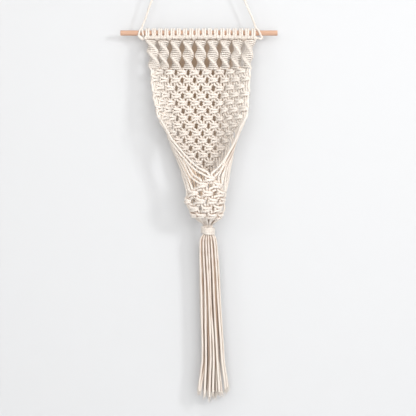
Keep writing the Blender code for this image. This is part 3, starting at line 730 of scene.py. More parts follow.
class Crowd:
    """How much of the space around a place is filled with cord.

    The rings' volumes are summed in small cubes, and each cube's sum is shared out with its
    neighbours, one quarter to each side along every axis, a number of times.
    """

    CUBE = 2.0
    MARGIN = 8
    SHARINGS = 4

    def __init__(self, tubes):
        middles = np.vstack([rings.mean(axis=1) for rings, _ in tubes])
        thick = [np.linalg.norm(rings - rings.mean(axis=1)[:, None], axis=2) for rings, _ in tubes]
        area = np.pi * np.concatenate([np.mean(t**2, axis=1) for t in thick])
        volume = area * np.concatenate([np.gradient(lengths) for _, lengths in tubes])
        self.low = middles.min(axis=0) - self.MARGIN * self.CUBE
        cubes = np.floor((middles - self.low) / self.CUBE).astype(int)
        size = cubes.max(axis=0) + self.MARGIN + 1
        flat = np.ravel_multi_index(cubes.T, size)
        filled = np.bincount(flat, volume, np.prod(size)).reshape(size) / self.CUBE**3
        for _ in range(self.SHARINGS):
            for axis in range(3):
                beside = np.roll(filled, 1, axis) + np.roll(filled, -1, axis)
                filled = 0.5 * filled + 0.25 * beside
        self.filled = filled

    def around(self, places):
        """The filled share at each place, straight between the middles of the cubes around it."""
        at = (places - self.low) / self.CUBE - 0.5
        at = np.clip(at, 0.0, np.array(self.filled.shape) - 1.001)
        cube = at.astype(int)
        part = at - cube
        total = np.zeros(len(places))
        for step in np.ndindex(2, 2, 2):
            weight = np.prod(np.where(np.array(step) == 1, part, 1 - part), axis=1)
            total += weight * self.filled[tuple((cube + step).T)]
        return total


class Bundle:
    """Tubes gathered into one mesh, with a map of length along and share round each cord.

    The crowd around a corner is read at REACH outside it, straight out from its tube's middle.
    """

    REACH = 2.0

    def __init__(self):
        self.corners, self.outer, self.faces, self.maps, self.count = [], [], [], [], 0

    def add(self, rings, lengths, number=0):
        """Skins a tube over its rings and closes both ends with a flat cap."""
        rows, sides, _ = rings.shape
        index = self.count + np.arange(rows * sides).reshape(rows, sides)
        after = np.roll(index, -1, axis=1)
        quads = np.stack((index[:-1], after[:-1], after[1:], index[1:]), axis=-1)
        u = np.broadcast_to(lengths[:, None] * MM, (rows, sides + 1))
        v = np.broadcast_to(number + np.arange(sides + 1) / sides, (rows, sides + 1))
        grid = np.stack((u, v), axis=-1)
        quad_map = np.stack((grid[:-1, :-1], grid[:-1, 1:], grid[1:, 1:], grid[1:, :-1]), axis=2)
        caps = [index[0, ::-1].tolist(), index[-1].tolist()]
        out = unit(rings - rings.mean(axis=1)[:, None])
        self.corners.append(rings.reshape(-1, 3))
        self.outer.append((rings + self.REACH * out).reshape(-1, 3))
        self.faces.append((quads.reshape(-1, 4), caps))
        self.maps.append((quad_map.reshape(-1, 2), grid[0, sides - 1 :: -1], grid[-1, :sides]))
        self.count += rows * sides
        return self

    def finish(self, name, material):
        """One smooth mesh, which holds for each corner how deep in the cords it is, for painted
        shade, and how far it faces the pouch's inside, for painted warm shade.
        """
        faces, maps = [], []
        for (quads, caps), (quad_map, first, last) in zip(self.faces, self.maps, strict=True):
            faces += quads.tolist() + caps
            maps += [quad_map, first, last]
        corners, outer = np.vstack(self.corners), np.vstack(self.outer)
        made = mesh_piece(name, corners, faces, np.vstack(maps), material)
        for key, values in (
            # Painted shade share, from how crowded the space around each corner is with cord.
            ("painted_nook_shade", CLOSENESS.get(name, 1.0) * Cords.present().crowd.around(outer)),
            # Painted warm shade share on the inner side of the pouch's rear.
            ("inside", painted_inside_shade(corners, outer)),
        ):
            made.data.attributes.new(key, "FLOAT", "POINT").data.foreach_set("value", values)
        return made


def place_in_scene(name, data, location=(0.0, 0.0, 0.0), turn=(0.0, 0.0, 0.0)):
    """A new object of the scene."""
    made = bpy.data.objects.new(name, data)
    bpy.context.scene.collection.objects.link(made)
    made.location, made.rotation_euler = location, turn
    return made


def mesh_piece(name, corners, faces, uvs, material):
    """An object of these corners, in millimetres, and faces, with its map and material."""
    mesh = bpy.data.meshes.new(name)
    mesh.from_pydata((corners * MM).tolist(), [], faces)
    mesh.uv_layers.new(name="cord").data.foreach_set("uv", np.ravel(uvs).astype(np.float32))
    mesh.polygons.foreach_set("use_smooth", np.ones(len(mesh.polygons), bool))
    mesh.materials.append(material)
    mesh.update()
    return place_in_scene(name, mesh)


def settle(made, node):
    """The piece rides on the body and stands in for its CAD node, which is hidden."""
    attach(made, "root")
    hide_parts(node)


# ---------------------------------------------------------------- routes


def rear_sheet(along, drop):
    """Place on the rear net, and the direction of its row, at a distance along from its middle.

    Seen from above a row is straight up to its flat length, then follows an arc forward with the
    bend's radius up to the turn's angle, and then runs straight on.
    """
    along, drop = np.broadcast_arrays(np.asarray(along, float), np.asarray(drop, float))
    side = np.where(along > 0, 1.0, -1.0)
    middle, back, *shape = at_drop(SHEET, drop)
    flat, bend, turn = (np.where(along > 0, shape[k + 3], shape[k]) for k in range(3))
    turn = np.radians(turn)
    far = np.maximum(np.abs(along) - flat, 0.0)
    angle = np.minimum(far / bend, turn)
    rest = np.maximum(far - bend * turn, 0.0)
    across = np.minimum(np.abs(along), flat) + bend * np.sin(angle) + rest * np.cos(angle)
    forward = bend * (1 - np.cos(angle)) + rest * np.sin(angle)
    place = np.stack((middle + side * across, back - forward, -drop), axis=-1)
    row = np.stack((np.cos(angle), -side * np.sin(angle), 0 * angle), axis=-1)
    return place, row


def oval_axes(drop):
    """The pocket's oval at a drop: its middle across and back, its half width and half depth."""
    left, right, rear, front = at_drop(OVAL, drop)
    return (left + right) / 2, (rear + front) / 2, (right - left) / 2, (rear - front) / 2


def oval(angle, share, drop):
    """Place on the pocket at an angle from its rear, in degrees, positive to the right.

    It is the oval's middle plus share times half its width times the sine, across, and share times
    half its depth times the cosine, backwards.
    """
    x, y, wide, deep = oval_axes(drop)
    a = np.radians(angle)
    across, back = x + share * wide * np.sin(a), y + share * deep * np.cos(a)
    return np.stack(np.broadcast_arrays(across, back, -np.asarray(drop, float)), axis=-1)


def oval_outward(angle, drop):
    """Direction straight out of the oval: its two half axes' inverses times sine and cosine."""
    _, _, wide, deep = oval_axes(drop)
    a = np.radians(angle)
    x, y = np.sin(a) / wide, np.cos(a) / deep
    return unit(np.stack(np.broadcast_arrays(x, y, 0 * y), axis=-1))


def on_oval(place):
    """The angle in degrees and the share at which a place lies on the pocket's oval."""
    x, y, wide, deep = oval_axes(-place[2])
    across, back = (place[0] - x) / wide, (place[1] - y) / deep
    return np.degrees(np.arctan2(across, back)), np.hypot(across, back)


def angle_at(x, drop, front):
    """Angle of the place on the pocket's front, or rear, that lies at x."""
    middle, _, wide, _ = oval_axes(drop)
    share = np.clip((x - middle) / wide, -0.97, 0.97)
    side = 1.0 if share >= 0 else -1.0
    angle = np.degrees(np.arcsin(share))
    return side * 180.0 - angle if front else angle


def painted_inside_shade(places, outer):
    """How much painted warm shade each place of the pouch's rear gets: how far it faces its inside,
    behind the cords in front of it.

    That is the cosine between the way to the place outside it and the oval's inward direction,
    times a ramp across the mouth's rim or under it, one from the oval's middle backwards, and one
    at the top and bottom of the pouch.
    """
    x, y, drop = places[:, 0], places[:, 1], -places[:, 2]
    middle, back, wide, deep = oval_axes(drop)
    inward = unit(np.stack(((middle - x) / wide**2, (back - y) / deep**2), axis=-1))
    facing = np.sum(inward * (outer - places)[:, :2], axis=1) / Bundle.REACH
    low, high = (np.interp(drop, *np.array(rim).T) for rim in (LEFT_RIM, RIGHT_RIM))
    under = np.maximum(np.maximum(low - x, x - high), drop - RIM_BOTTOM)
    within = ramp(np.minimum(drop - INSIDE_TOP, INSIDE_BOTTOM - drop) / END_RAMP)
    within *= ramp((y - back) / REAR_RAMP)
    return ramp(facing * INSIDE_GAIN) * ramp((RIM_RAMP / 2 + under) / RIM_RAMP) * within


def knot_seat(middle, across, down):
    """A knot's middle and its directions across, out and down, square to each other."""
    down = unit(down)
    across = unit(across - down * np.dot(across, down))
    return middle, np.stack((across, np.cross(down, across), down))


def whole_worker(upper):
    """A worker's route through a knot: its upper half, and the same points mirrored below."""
    upper = np.array(upper)
    return np.vstack((upper, upper[-2::-1] * (1.0, 1.0, -1.0, 1.0)))


def knot_cords(seat, width, radius, height=1.0):
    """Routes of the four cords through a square knot, from left to right, with their radius."""
    middle, directions = seat
    size = np.array((width / KNOT_WIDTH, 1.0, height))
    cords = []
    for route in (
        whole_worker(LEFT_WORKER),
        FILLER - FILLER_OFF,
        FILLER + FILLER_OFF,
        whole_worker(RIGHT_WORKER),
    ):
        below, share = route[:, 2], route[:, 3]
        place = route[:, :3] * size
        place[:, 0] -= KNOT_LEAN * below * ramp(1 - (below / KNOT_HALF) ** 2)
        cords.append(with_radius(middle + place @ directions, radius * share))
    return cords


def with_radius(points, radius):
    """The points with a radius as their fourth column."""
    points = np.asarray(points, float).reshape(-1, 3)
    return np.hstack((points, np.broadcast_to(np.reshape(radius, (-1, 1)), (len(points), 1))))


def evenly(rows, steps):
    """Rows straight between the given ones, with a number of even steps from each to the next."""
    rows = np.array(rows)
    parts = [np.linspace(0.0, 1.0, count + 1)[1:, None] for count in steps]
    pairs = zip(rows[:-1], rows[1:], parts, strict=True)
    return np.vstack((rows[:1], *(low + part * (high - low) for low, high, part in pairs)))


def round_dowel(x, degrees, reach):
    """Places round the dowel at a reach from its axis: 0 degrees on top, 90 in front, 180 below."""
    turn = np.radians(degrees)
    return np.stack((x, -reach * np.sin(turn), -DOWEL_DROP + reach * np.cos(turn)), axis=1)


class Leg:
    """The line of one leg from the dowel down, with the point at which each piece begins."""

    def __init__(self):
        self.runs, self.starts, self.count = [], [], 0

    def begin(self, piece):
        self.starts.append((max(self.count - 1, 0), piece))

    def add(self, run):
        self.runs.append(run)
        self.count += len(run)

    def end(self):
        """Last place on the line so far."""
        return self.runs[-1][-1, :3]

    def points(self):
        return np.vstack(self.runs)

    def stretches(self):
        """First point, last point and piece of each stretch of the line."""
        stops = [low for low, _ in self.starts[1:]] + [self.count - 1]
        return [(low, high, piece) for (low, piece), high in zip(self.starts, stops, strict=True)]


def heading_drop(x):
    """Drop of the heading row, a parabola that is lowest at both ends."""
    return HEADING_DROP + HEADING_BOW * ((x - HEADING_MIDDLE) / HEADING_HALF) ** 2


def head_middle(number, pitch):
    """Place across of a lark's head on the dowel."""
    return HEADING_MIDDLE + (number - (CORDS - 1) / 2) * pitch


def start_heading(legs, pitch):
    """Each leg's double half hitch round the heading's core.

    The cord winds once and a sixth round the core, on a helix that moves on, away from the middle
    of its lark's head, by its own thickness and a little in each turn, and leaves it downwards.
    """
    turn = np.radians(np.linspace(*HITCH_TURN))
    for number, leg in enumerate(legs):
        side = -1.0 if number % 2 == 0 else 1.0
        moved = HITCH_START + HITCH_PITCH * turn / (2 * np.pi)
        x = head_middle(number // 2, pitch) + side * moved
        y = HEADING_BACK - HITCH_RADIUS * np.cos(turn)
        z = -heading_drop(x) - HITCH_RADIUS * np.sin(turn)
        leg.begin("heading")
        leg.add(with_radius(np.stack((x, y, z), axis=1), HITCH_CORD_RADIUS))


def lark_head(number, pitch, radius, sway):
    """A doubled cord's way over the dowel: up its front, over, and across behind and under it."""
    x = head_middle(number, pitch) + sway
    half = round_dowel(x - LARK_OFF, LARK_DEGREES, DOWEL_RADIUS + radius + DOWEL_GAP)
    half = np.vstack((half, LARK_BAR + (x, 0.0, -DOWEL_DROP)))
    mirror = half[-2::-1] * (-1.0, 1.0, 1.0) + (2 * x, 0.0, 0.0)
    return with_radius(np.vstack((half, mirror)), radius)


def add_columns(legs, settings, net_pitch):
    """Each column's four legs.

    The two workers lie opposite each other on a flattened helix round the two fillers: across is
    minus the half width times the cosine, and out is the half depth times the sine, of half a turn
    in each half knot. The whole column turns once round on its way down, its left edge forward.
    """
    knots = settings.half_knots
    radius = settings.thickness / MM / 2
    wide = settings.width / MM / 2 - radius
    deep = settings.depth / MM / 2 - radius
    fall = (COLUMN_BOTTOM - COLUMN_TOP) / knots
    for number, leg in enumerate(legs):
        column, cord = divmod(number, 4)
        side = -1.0 if cord < 2 else 1.0
        if cord in (0, 3):
            t = np.linspace(0.0, knots, knots * 6 + 1)
            drop = COLUMN_TOP + fall * (t + WORKER_HURRY * np.sin(2 * np.pi * t) / (2 * np.pi))
            across, out = side * wide * np.cos(np.pi * t), -side * deep * np.sin(np.pi * t)
        else:
            t = np.linspace(0.0, knots, knots * 2 + 1)
            drop = COLUMN_TOP + fall * t
            across, out = np.full_like(t, side * COLUMN_FILLER), 0 * t
        spin = 2 * np.pi * t / knots
        turned = across * np.cos(spin) + out * np.sin(spin)
        out = out * np.cos(spin) - across * np.sin(spin)
        place, row = rear_sheet((column - (COLUMNS - 1) / 2) * net_pitch, drop)
        outward = np.cross(np.array((0.0, 0.0, -1.0)), row)
        leg.begin("columns")
        leg.add(with_radius(place + row * turned[:, None] + outward * out[:, None], radius))


def add_rear_net(legs, settings, radius, chance):
    """Rows of square knots, each row half a pitch beside the one above."""
    pitch, wander = settings.pitch / MM, settings.wander / MM
    for leg in legs:
        leg.begin("rear_net")
    for drop, first, count in REAR_ROWS:
        if first == 2:
            for cord, along in PASSING_LEGS:
                legs[cord].add(with_radius(rear_sheet(along * pitch, drop)[0], radius))
        for knot in range(count):
            cords = range(first + 4 * knot, first + 4 * knot + 4)
            along = (np.mean(cords) - (LEGS - 1) / 2) / 4 * pitch + chance.normal(0.0, wander / 2)
            low = drop + chance.normal(0.0, wander / 2)
            places, rows = rear_sheet(along, low + np.array((-KNOT_HALF, 0.0, KNOT_HALF)))
            tilt = chance.normal(0.0, KNOT_TILT)
            seat = knot_seat(places[1], rows[1] + (0, 0, tilt), places[2] - places[0])
            share = EDGE_KNOT_WIDTH if first == 0 and knot in (0, count - 1) else 1.0
            share = share + WIDER * ramp(abs(along) / pitch - WIDE_FROM)
            routes = knot_cords(seat, settings.knot_width / MM * share, radius)
            for cord, route in zip(cords, routes, strict=True):
                legs[cord].add(route)


def side_run(start, end, way, offset, radius):
    """A free cord round the pocket's side, beside its neighbour.

    The middle of the pair moves over the ovals, at the angles that the way has at its drops. What
    separates the first and the last place from their ovals is added, less and less with the
    distance from them. The cord lies offset from that middle, square to the run and to the oval's
    outward direction.
    """
    steps = max(3, int(round((start[2] - end[2]) / SIDE_STEP)))
    part = np.linspace(0.0, 1.0, steps + 2)
    drop = -(start[2] + part * (end[2] - start[2]))
    angle = np.interp(drop, way[:, 0], way[:, 1])
    middle = oval(angle, 1.0, drop)
    ease = eased(part)[:, None]
    middle = middle + (start - middle[0]) * (1 - ease) ** 2 + (end - middle[-1]) * ease**3
    run = unit(np.gradient(middle, axis=0))
    beside = unit(np.cross(oval_outward(angle, drop), run))
    line = middle + beside * offset * (1 + PAIR_SPREAD * ease)
    return with_radius(line[1:-1], radius)


def add_sides(legs, ends, radius, chance):
    """The pairs that leave the rear net's edge and wrap round to the front or into the neck."""
    for side in (-1, 1):
        for pair in range(COLUMNS):
            cords = (2 * pair, 2 * pair + 1)
            if side > 0:
                cords = tuple(LEGS - 1 - cord for cord in cords)
            start = (legs[cords[0]].end() + legs[cords[1]].end()) / 2
            end = (ends[cords[0]] + ends[cords[1]]) / 2
            wraps = len(FRONT_PAIRS[side])
            ahead = pair < wraps
            places = FRONT_PAIRS[side][pair] if ahead else REAR_PAIRS[side][pair - wraps]
            way = [
                (-start[2], angle_at(start[0], -start[2], False)),
                *(
                    (drop, angle_at(x, drop, ahead))
                    for drop, x in places
                    if WAY_CLEAR - start[2] < drop < -end[2] - WAY_CLEAR
                ),
                (-end[2], on_oval(end)[0]),
            ]
            way = np.array(way)
            way[:, 1] = side * ((side * way[:, 1] + 90.0) % 360.0 - 90.0)
            sway = chance.normal(0.0, PAIR_SWAY)
            for cord, offset in zip(cords, (-PAIR_HALF, PAIR_HALF), strict=True):
                legs[cord].begin("side_cords")
                legs[cord].add(side_run(start, end, way, side * (offset + sway), radius))


def front_knots(radius, wander, chance):
    """The legs of each knot of the front, and their routes on the pocket's ovals."""
    knots = []
    for x, drop, cords in FRONT_KNOTS:
        x, drop = x + chance.normal(0.0, wander / 2), drop + chance.normal(0.0, wander / 2)
        angle = angle_at(x, drop, True)
        down = oval(angle, 1.0, drop + FRONT_SLOPE) - oval(angle, 1.0, drop - FRONT_SLOPE)
        outward = oval_outward(angle, drop)
        across = np.array((-outward[1], outward[0], 0.0))
        width = FRONT_KNOT_WIDTH - FRONT_NARROWS * ramp((NARROWS_FROM - abs(angle)) / NARROWS_OVER)
        seat = knot_seat(oval(angle, 1.0, drop), across, down)
        knots.append((cords, knot_cords(seat, width, radius, FRONT_KNOT_HEIGHT)))
    return knots


def neck_places():
    """Each leg's place in the neck: in the order of the pocket's edge, on three nested ovals."""
    number = np.arange(LEGS)
    angle = np.radians(-180.0 + (number + 0.5) * 360.0 / LEGS)
    ring = np.array(NECK_RINGS)[number % 6]
    x = NECK[0] + ring * NECK_WIDE * np.sin(angle)
    y = NECK[1] + ring * NECK_DEEP * np.cos(angle)
    return np.stack((x, y, np.full(LEGS, -NECK_DROP)), axis=1)


def add_neck(legs, places, free):
    """The cords run together into the neck, squeezed thin under the wrap.

    Those of its inner rings go in sooner, and one in three of the outer ring dips behind the rest.
    """
    for number, (leg, place) in enumerate(zip(legs, places, strict=True)):
        start = leg.end()
        fall = start[2] - place[2]
        if fall > NECK_STEP:
            a0, s0 = on_oval(start)
            a1, s1 = on_oval(place)
            a1 += 360.0 * np.rint((a0 - a1) / 360.0)
            part = np.linspace(0.0, 1.0, max(3, int(fall / NECK_STEP) + 2))[1:-1]
            ease = eased(part)
            inner = NECK_RINGS[number % 6] < NECK_INNER
            share = s0 + (s1 - s0) * (1 - (1 - part) ** 3 if inner else ease)
            if number % 6 == 2:
                share = share - NECK_DIP * np.sin(np.pi * part)
            line = oval(a0 + (a1 - a0) * ease, share, -start[2] + fall * part)
            thick = free if inner else free * NECK_SWELL
            leg.add(with_radius(line, thick + (NECK_RADIUS_ABOVE - thick) * part**7))
        below = place + np.outer(NECK_BELOW, (0.0, 0.0, 1.0))
        leg.add(with_radius(below, NECK_RADIUS))


def tassel_lattice(places):
    """The strand of the tassel that each leg becomes, as shares of the half width and depth.

    Six columns of six: the legs are sorted across the neck, and each six of them from front to
    back. Every other row stands half a column further right, so it shows in the gaps.
    """
    by_x = np.argsort(places[:, 0]).reshape(6, 6)
    depth = np.take_along_axis(by_x, np.argsort(places[by_x, 1], axis=1), axis=1)
    share = np.zeros((LEGS, 2))
    column, row = np.indices((6, 6))
    u = np.array(STRAND_COLUMNS)[column] + STRAND_SHIFT * (row % 2)
    v = 2 * row / 5.0 - 1.0
    share[depth.ravel()] = np.stack((u, v), axis=-1).reshape(-1, 2)
    return share


def add_tassel(legs, share, settings, radius, chance):
    """Thirty-six strands below the wrap.

    Across a strand is at the tassel's middle plus its share of the half width, and in depth at the
    back plus its share of the half depth, narrower at the sides. Slow waves, wider towards the
    bottom, are added: two that the strands of a column have in common, and one of its own. The
    outer strands end higher, by the square of their share of the width.
    """
    bottom, uneven = settings.bottom / MM, settings.uneven / MM
    shared = chance.uniform(0.0, 2 * np.pi, (9, 2))
    for leg, (u, v) in zip(legs, share, strict=True):
        end = bottom + END_LOW - END_RISE * u * u
        end += uneven * np.clip(chance.normal(0.0, END_SPREAD), -1, 1)
        even = np.linspace(STRAND_EVEN_FROM, end, STRAND_EVEN_POINTS)
        drop = np.concatenate((STRAND_DROPS, even))
        middle, back, wide, deep = at_drop(TASSEL, drop)
        part = ramp((drop - WAVE_FROM) / (bottom - WAVE_FROM))
        size = WAVE_SIZE + WAVE_GROWS * part**WAVE_POWER
        phase = chance.uniform(0.0, 2 * np.pi, 3)
        starts = (*shared[int(round((u + 1) * 4))], phase[0])
        u = u + chance.normal(0.0, STRAND_STRAY)
        waves = zip(WAVES_ACROSS, starts, strict=True)
        x = middle + u * wide + size * sum(h * np.sin(n * part + at) for (h, n), at in waves)
        h, n = WAVE_IN_DEPTH
        y = back + v * deep * (1 - STRAND_SIDES_THIN * u * u)
        y = y + h * size * np.sin(n * part + phase[2])
        thick = np.full(len(drop), radius)
        thick[0] = STRAND_WRAPPED_RADIUS
        leg.begin("tassel")
        leg.add(with_radius(np.stack((x, y, -drop), axis=1), thick))


def cord_lines(settings):
    """The eighteen doubled cords' lines, and the stretch of each that belongs to every piece."""
    chance = np.random.default_rng(KNOT_SEED)
    free = settings.cord.thickness / MM / 2
    tight = settings.cord.knot_thickness / MM / 2
    pitch = settings.heading.pitch / MM
    legs = [Leg() for _ in range(LEGS)]
    start_heading(legs, pitch)
    add_columns(legs, settings.columns, settings.net.pitch / MM)
    add_rear_net(legs, settings.net, tight, chance)
    knots = front_knots(tight * FRONT_SWELL, settings.net.wander / MM, chance)
    places = neck_places()
    ends = dict(enumerate(places))
    for cords, routes in reversed(knots):
        ends.update((cord, route[0, :3]) for cord, route in zip(cords, routes, strict=True))
    add_sides(legs, ends, free, chance)
    for leg in legs:
        leg.begin("front_net")
    for cords, routes in knots:
        for cord, route in zip(cords, routes, strict=True):
            legs[cord].add(route)
    add_neck(legs, places, free)
    add_tassel(legs, tassel_lattice(places), settings.tassel, free * STRAND_SWELL, chance)
    lines = []
    for number, (left, right) in enumerate(zip(legs[::2], legs[1::2], strict=True)):
        head = lark_head(number, pitch, free * LARK_SWELL, chance.normal(0.0, LARK_SWAY))
        last, begin = left.count - 1, left.count + len(head)
        stretches = [(last - high, last - low, piece) for low, high, piece in left.stretches()]
        stretches += [(begin + low, begin + high, piece) for low, high, piece in right.stretches()]
        stretches.append((last, begin, "heading"))
        lines.append((np.vstack((left.points()[::-1], head, right.points())), stretches))
    return lines


class Cords:
    """Every doubled cord's rings, cut where one piece goes over into the next.

    bundles gathers them by piece, crowd knows how they fill the space, and tips holds the places
    and directions of the cut ends.
    """

    made = {}

    def __init__(self, settings):
        self.bundles, tubes, ends, along = {}, [], [], []
        for number, (points, stretches) in enumerate(cord_lines(settings)):
            rings, lengths, found = cord_rings(points, settings.cord)
            tubes.append((rings, lengths))
            for low, high, piece in stretches:
                part = slice(found[low], found[high] + 1)
                bundle = self.bundles.setdefault(piece, Bundle())
                bundle.add(rings[part], lengths[part], number)
            middles = rings.mean(axis=1)
            ends += [middles[0], middles[-1]]
            along += [unit(middles[0] - middles[3]), unit(middles[-1] - middles[-4])]
        self.crowd = Crowd(tubes)
        self.tips = np.array(ends), np.array(along)

    @classmethod
    def present(cls):
        """The cords of the present settings, which are made anew when one of these has changed."""
        settings = bpy.context.scene.macrame
        groups = (settings.cord, settings.heading, settings.columns, settings.net, settings.tassel)
        values = [getattr(group, key) for group in groups for key in group.__annotations__]
        sizes = tuple(value for value in values if isinstance(value, (int, float)))
        if sizes not in cls.made:
            cls.made = {sizes: cls(settings)}
        return cls.made[sizes]


# ---------------------------------------------------------------- materials


def shader_sum(operation, reflected=False):
    """An operator of Value that adds a Math node, with its two sides swapped if reflected."""

    def operator(value, other):
        return value.finish.math(operation, *((other, value) if reflected else (value, other)))

    return operator


class Value:
    """A shader socket that takes part in sums, so that an expression adds its Math nodes."""

    def __init__(self, finish, socket):
        self.finish, self.socket = finish, socket

    __add__, __radd__ = shader_sum("ADD"), shader_sum("ADD", reflected=True)
    __sub__, __rsub__ = shader_sum("SUBTRACT"), shader_sum("SUBTRACT", reflected=True)
    __mul__, __rmul__ = shader_sum("MULTIPLY"), shader_sum("MULTIPLY", reflected=True)
    __pow__, __rpow__ = shader_sum("POWER"), shader_sum("POWER", reflected=True)

    def math(self, operation, *others):
        """A Math node on this value and the others."""
        return self.finish.math(operation, self, *others)

    def between(self, low, high):
        """The value, but not below low or above high."""
        return self.math("MAXIMUM", low).math("MINIMUM", high)


class Finish:
    """A material whose nodes are made one by one and joined to its main shader."""

    MIX_FIRST, MIX_SECOND, MIX_RESULT = 6, 7, 2

    def __init__(self, name):
        self.material = bpy.data.materials.new(name)
        self.material.use_nodes = True
        self.nodes = self.material.node_tree.nodes
        self.links = self.material.node_tree.links
        self.shader = self.nodes["Principled BSDF"]
        self.output = self.nodes["Material Output"]

    def node(self, kind, settings=None, inputs=None, out=0):
        """A node with its settings made first, then the values or links of its sockets."""
        made = self.nodes.new(kind)
        for key, value in (settings or {}).items():
            setattr(made, key, value)
        for key, value in (inputs or {}).items():
            self.join(value, made.inputs[key])
        return Value(self, made.outputs[out])

    def join(self, value, socket):
        """Links a value to a socket, or sets the socket to it."""
        if isinstance(value, Value):
            self.links.new(value.socket, socket)
        elif socket.type == "RGBA":
            socket.default_value = (*value, 1.0)
        else:
            socket.default_value = value

    def set(self, **sockets):
        """Values or links of the main shader's sockets, by name with underscores."""
        for key, value in sockets.items():
            self.join(value, self.shader.inputs[key.replace("_", " ")])

    def math(self, operation, *values):
        """A Math node on one or more values."""
        return self.node("ShaderNodeMath", {"operation": operation}, dict(enumerate(values)))

    def mix(self, factor, first, second):
        """A Mix node on two colours."""
        inputs = {"Factor": factor, self.MIX_FIRST: first, self.MIX_SECOND: second}
        return self.node("ShaderNodeMix", {"data_type": "RGBA"}, inputs, self.MIX_RESULT)

    def noise(self, place, **sockets):
        """A Noise Texture read at a place."""
        return self.node("ShaderNodeTexNoise", inputs={"Vector": place, **sockets})

    def attribute(self, name):
        """A value that the piece's mesh holds for each of its corners."""
        return self.node("ShaderNodeAttribute", {"attribute_name": name}, out="Fac")

    def solid(self, scale=None):
        """The place in the object, stretched by a scale along each axis if one is given."""
        place = self.node("ShaderNodeTexCoord", out="Object")
        if scale:
            place = self.node("ShaderNodeMapping", inputs={"Vector": place, "Scale": scale})
        return place

    def bump(self, height, strength, distance):
        """The normal of a surface with a fine relief."""
        inputs = {"Strength": strength, "Distance": distance, "Height": height}
        return self.node("ShaderNodeBump", inputs=inputs)


def cotton(settings):
    """Soft three-ply cotton: pale crowns, painted shade in the grooves, faint tone along each cord,
    fine fibres.

    It has painted warm shade on the inner side of the pouch's rear, and painted brown shade deep
    between the cords.
    """
    found = bpy.data.materials.get("cotton")
    if found:
        return found
    finish = Finish("cotton")
    place = finish.node("ShaderNodeUVMap", {"uv_map": "cord"})
    along, around = (
        finish.node("ShaderNodeSeparateXYZ", inputs={"Vector": place}, out=k) for k in "XY"
    )
    turn = around * (2 * np.pi)
    crown = (turn * 3.0).math("COSINE") * 0.5 + 0.5
    # the cord's skin as a place in space: round a unit circle, and far along for its own number
    far = along * 60.0 + around.math("FLOOR") * 3.7
    circle = {"X": turn.math("COSINE"), "Y": turn.math("SINE"), "Z": far}
    skin = finish.node("ShaderNodeCombineXYZ", inputs=circle)
    fibre = finish.noise(skin, Scale=7.0, Detail=3.0, Roughness=0.6)
    tone = finish.noise(finish.solid(), Scale=26.0, Detail=2.0)
    # Painted shade: the grooves between the plies are darkened; fibre and tone add the cotton's own
    # unevenness.
    painted_groove_shade = (1.0 - crown) ** 2.2
    shade = (painted_groove_shade * 0.62 + fibre * 0.30 + tone * 0.22 - 0.20).between(0.0, 1.0)
    colour = finish.mix(shade, tuple(settings.light), tuple(settings.dark))
    # Painted warm shade on the inner side of the pouch's rear.
    colour = finish.mix(finish.attribute("inside") * 0.9, colour, tuple(settings.inside))
    # Painted shade: brown deep between the cords, where the space around them is crowded with cord.
    painted_nook_shade = ((finish.attribute("painted_nook_shade") - 0.24) * 3.2).between(0.0, 1.0)
    colour = finish.mix(painted_nook_shade * 0.85, colour, tuple(settings.painted_nook_shade))
    relief = finish.bump(crown * 0.35 + fibre * 0.65, 0.55, 0.0005)
    finish.set(Base_Color=colour, Roughness=0.92, Normal=relief, Sheen_Weight=0.25)
    finish.set(Sheen_Roughness=0.6, Specular_IOR_Level=0.2)
    return finish.material


def pale_wood(settings):
    """Raw pale wood: fine grain drawn out along the dowel, broad tone and small dark pores."""
    finish = Finish("pale_wood")
    grain = finish.noise(finish.solid((6.0, 150.0, 150.0)), Scale=1.6, Detail=5.0, Roughness=0.62)
    pore = finish.noise(finish.solid((40.0, 900.0, 900.0)), Scale=1.5, Detail=1.0)
    pore = (pore - 0.62).math("MAXIMUM", 0.0) * 5.0
    broad = finish.noise(finish.solid(), Scale=14.0, Detail=1.0)
    mask = (grain * 1.5 - 0.45 + (broad - 0.5) * 0.5).between(0.0, 1.0)
    colour = finish.mix(mask, tuple(settings.light), tuple(settings.dark))
    colour = finish.mix(pore.math("MINIMUM", 0.6), colour, tuple(settings.pores))
    relief = finish.bump(grain * 0.6 - pore * 0.5, 0.35, 0.0003)
    finish.set(Base_Color=colour, Roughness=0.55 + mask * 0.12, Normal=relief)
    return finish.material


def wall_paint(name, settings, one_sided):
    """Plain matt paint; if one-sided, with painted brown shade where cords close in on it, and
    clear from behind.
    """
    finish = Finish(name)
    colour = tuple(settings.wall)
    finish.set(Base_Color=colour, Roughness=0.95, Specular_IOR_Level=0.1)
    if one_sided:
        # Painted shade: the wall turns brown where cords close in on it, standing for shade and
        # light bounced off the cotton.
        reach = {"Distance": settings.painted_shade_reach}
        open_share = finish.node("ShaderNodeAmbientOcclusion", inputs=reach, out="AO")
        closed = ((0.53 - open_share) * 3.4).between(0.0, 1.0)
        finish.set(Base_Color=finish.mix(closed, colour, tuple(settings.closed)))
        behind = finish.node("ShaderNodeNewGeometry", out="Backfacing")
        shadow = finish.node("ShaderNodeLightPath", out="Is Shadow Ray")
        clear = finish.node("ShaderNodeBsdfTransparent")
        share = behind.math("MAXIMUM", shadow * 0.25)
        mixed = finish.node("ShaderNodeMixShader", inputs={0: share, 2: clear})
        finish.links.new(finish.shader.outputs["BSDF"], mixed.socket.node.inputs[1])
        finish.links.new(mixed.socket, finish.output.inputs["Surface"])
    return finish.material


# ---------------------------------------------------------------- pieces


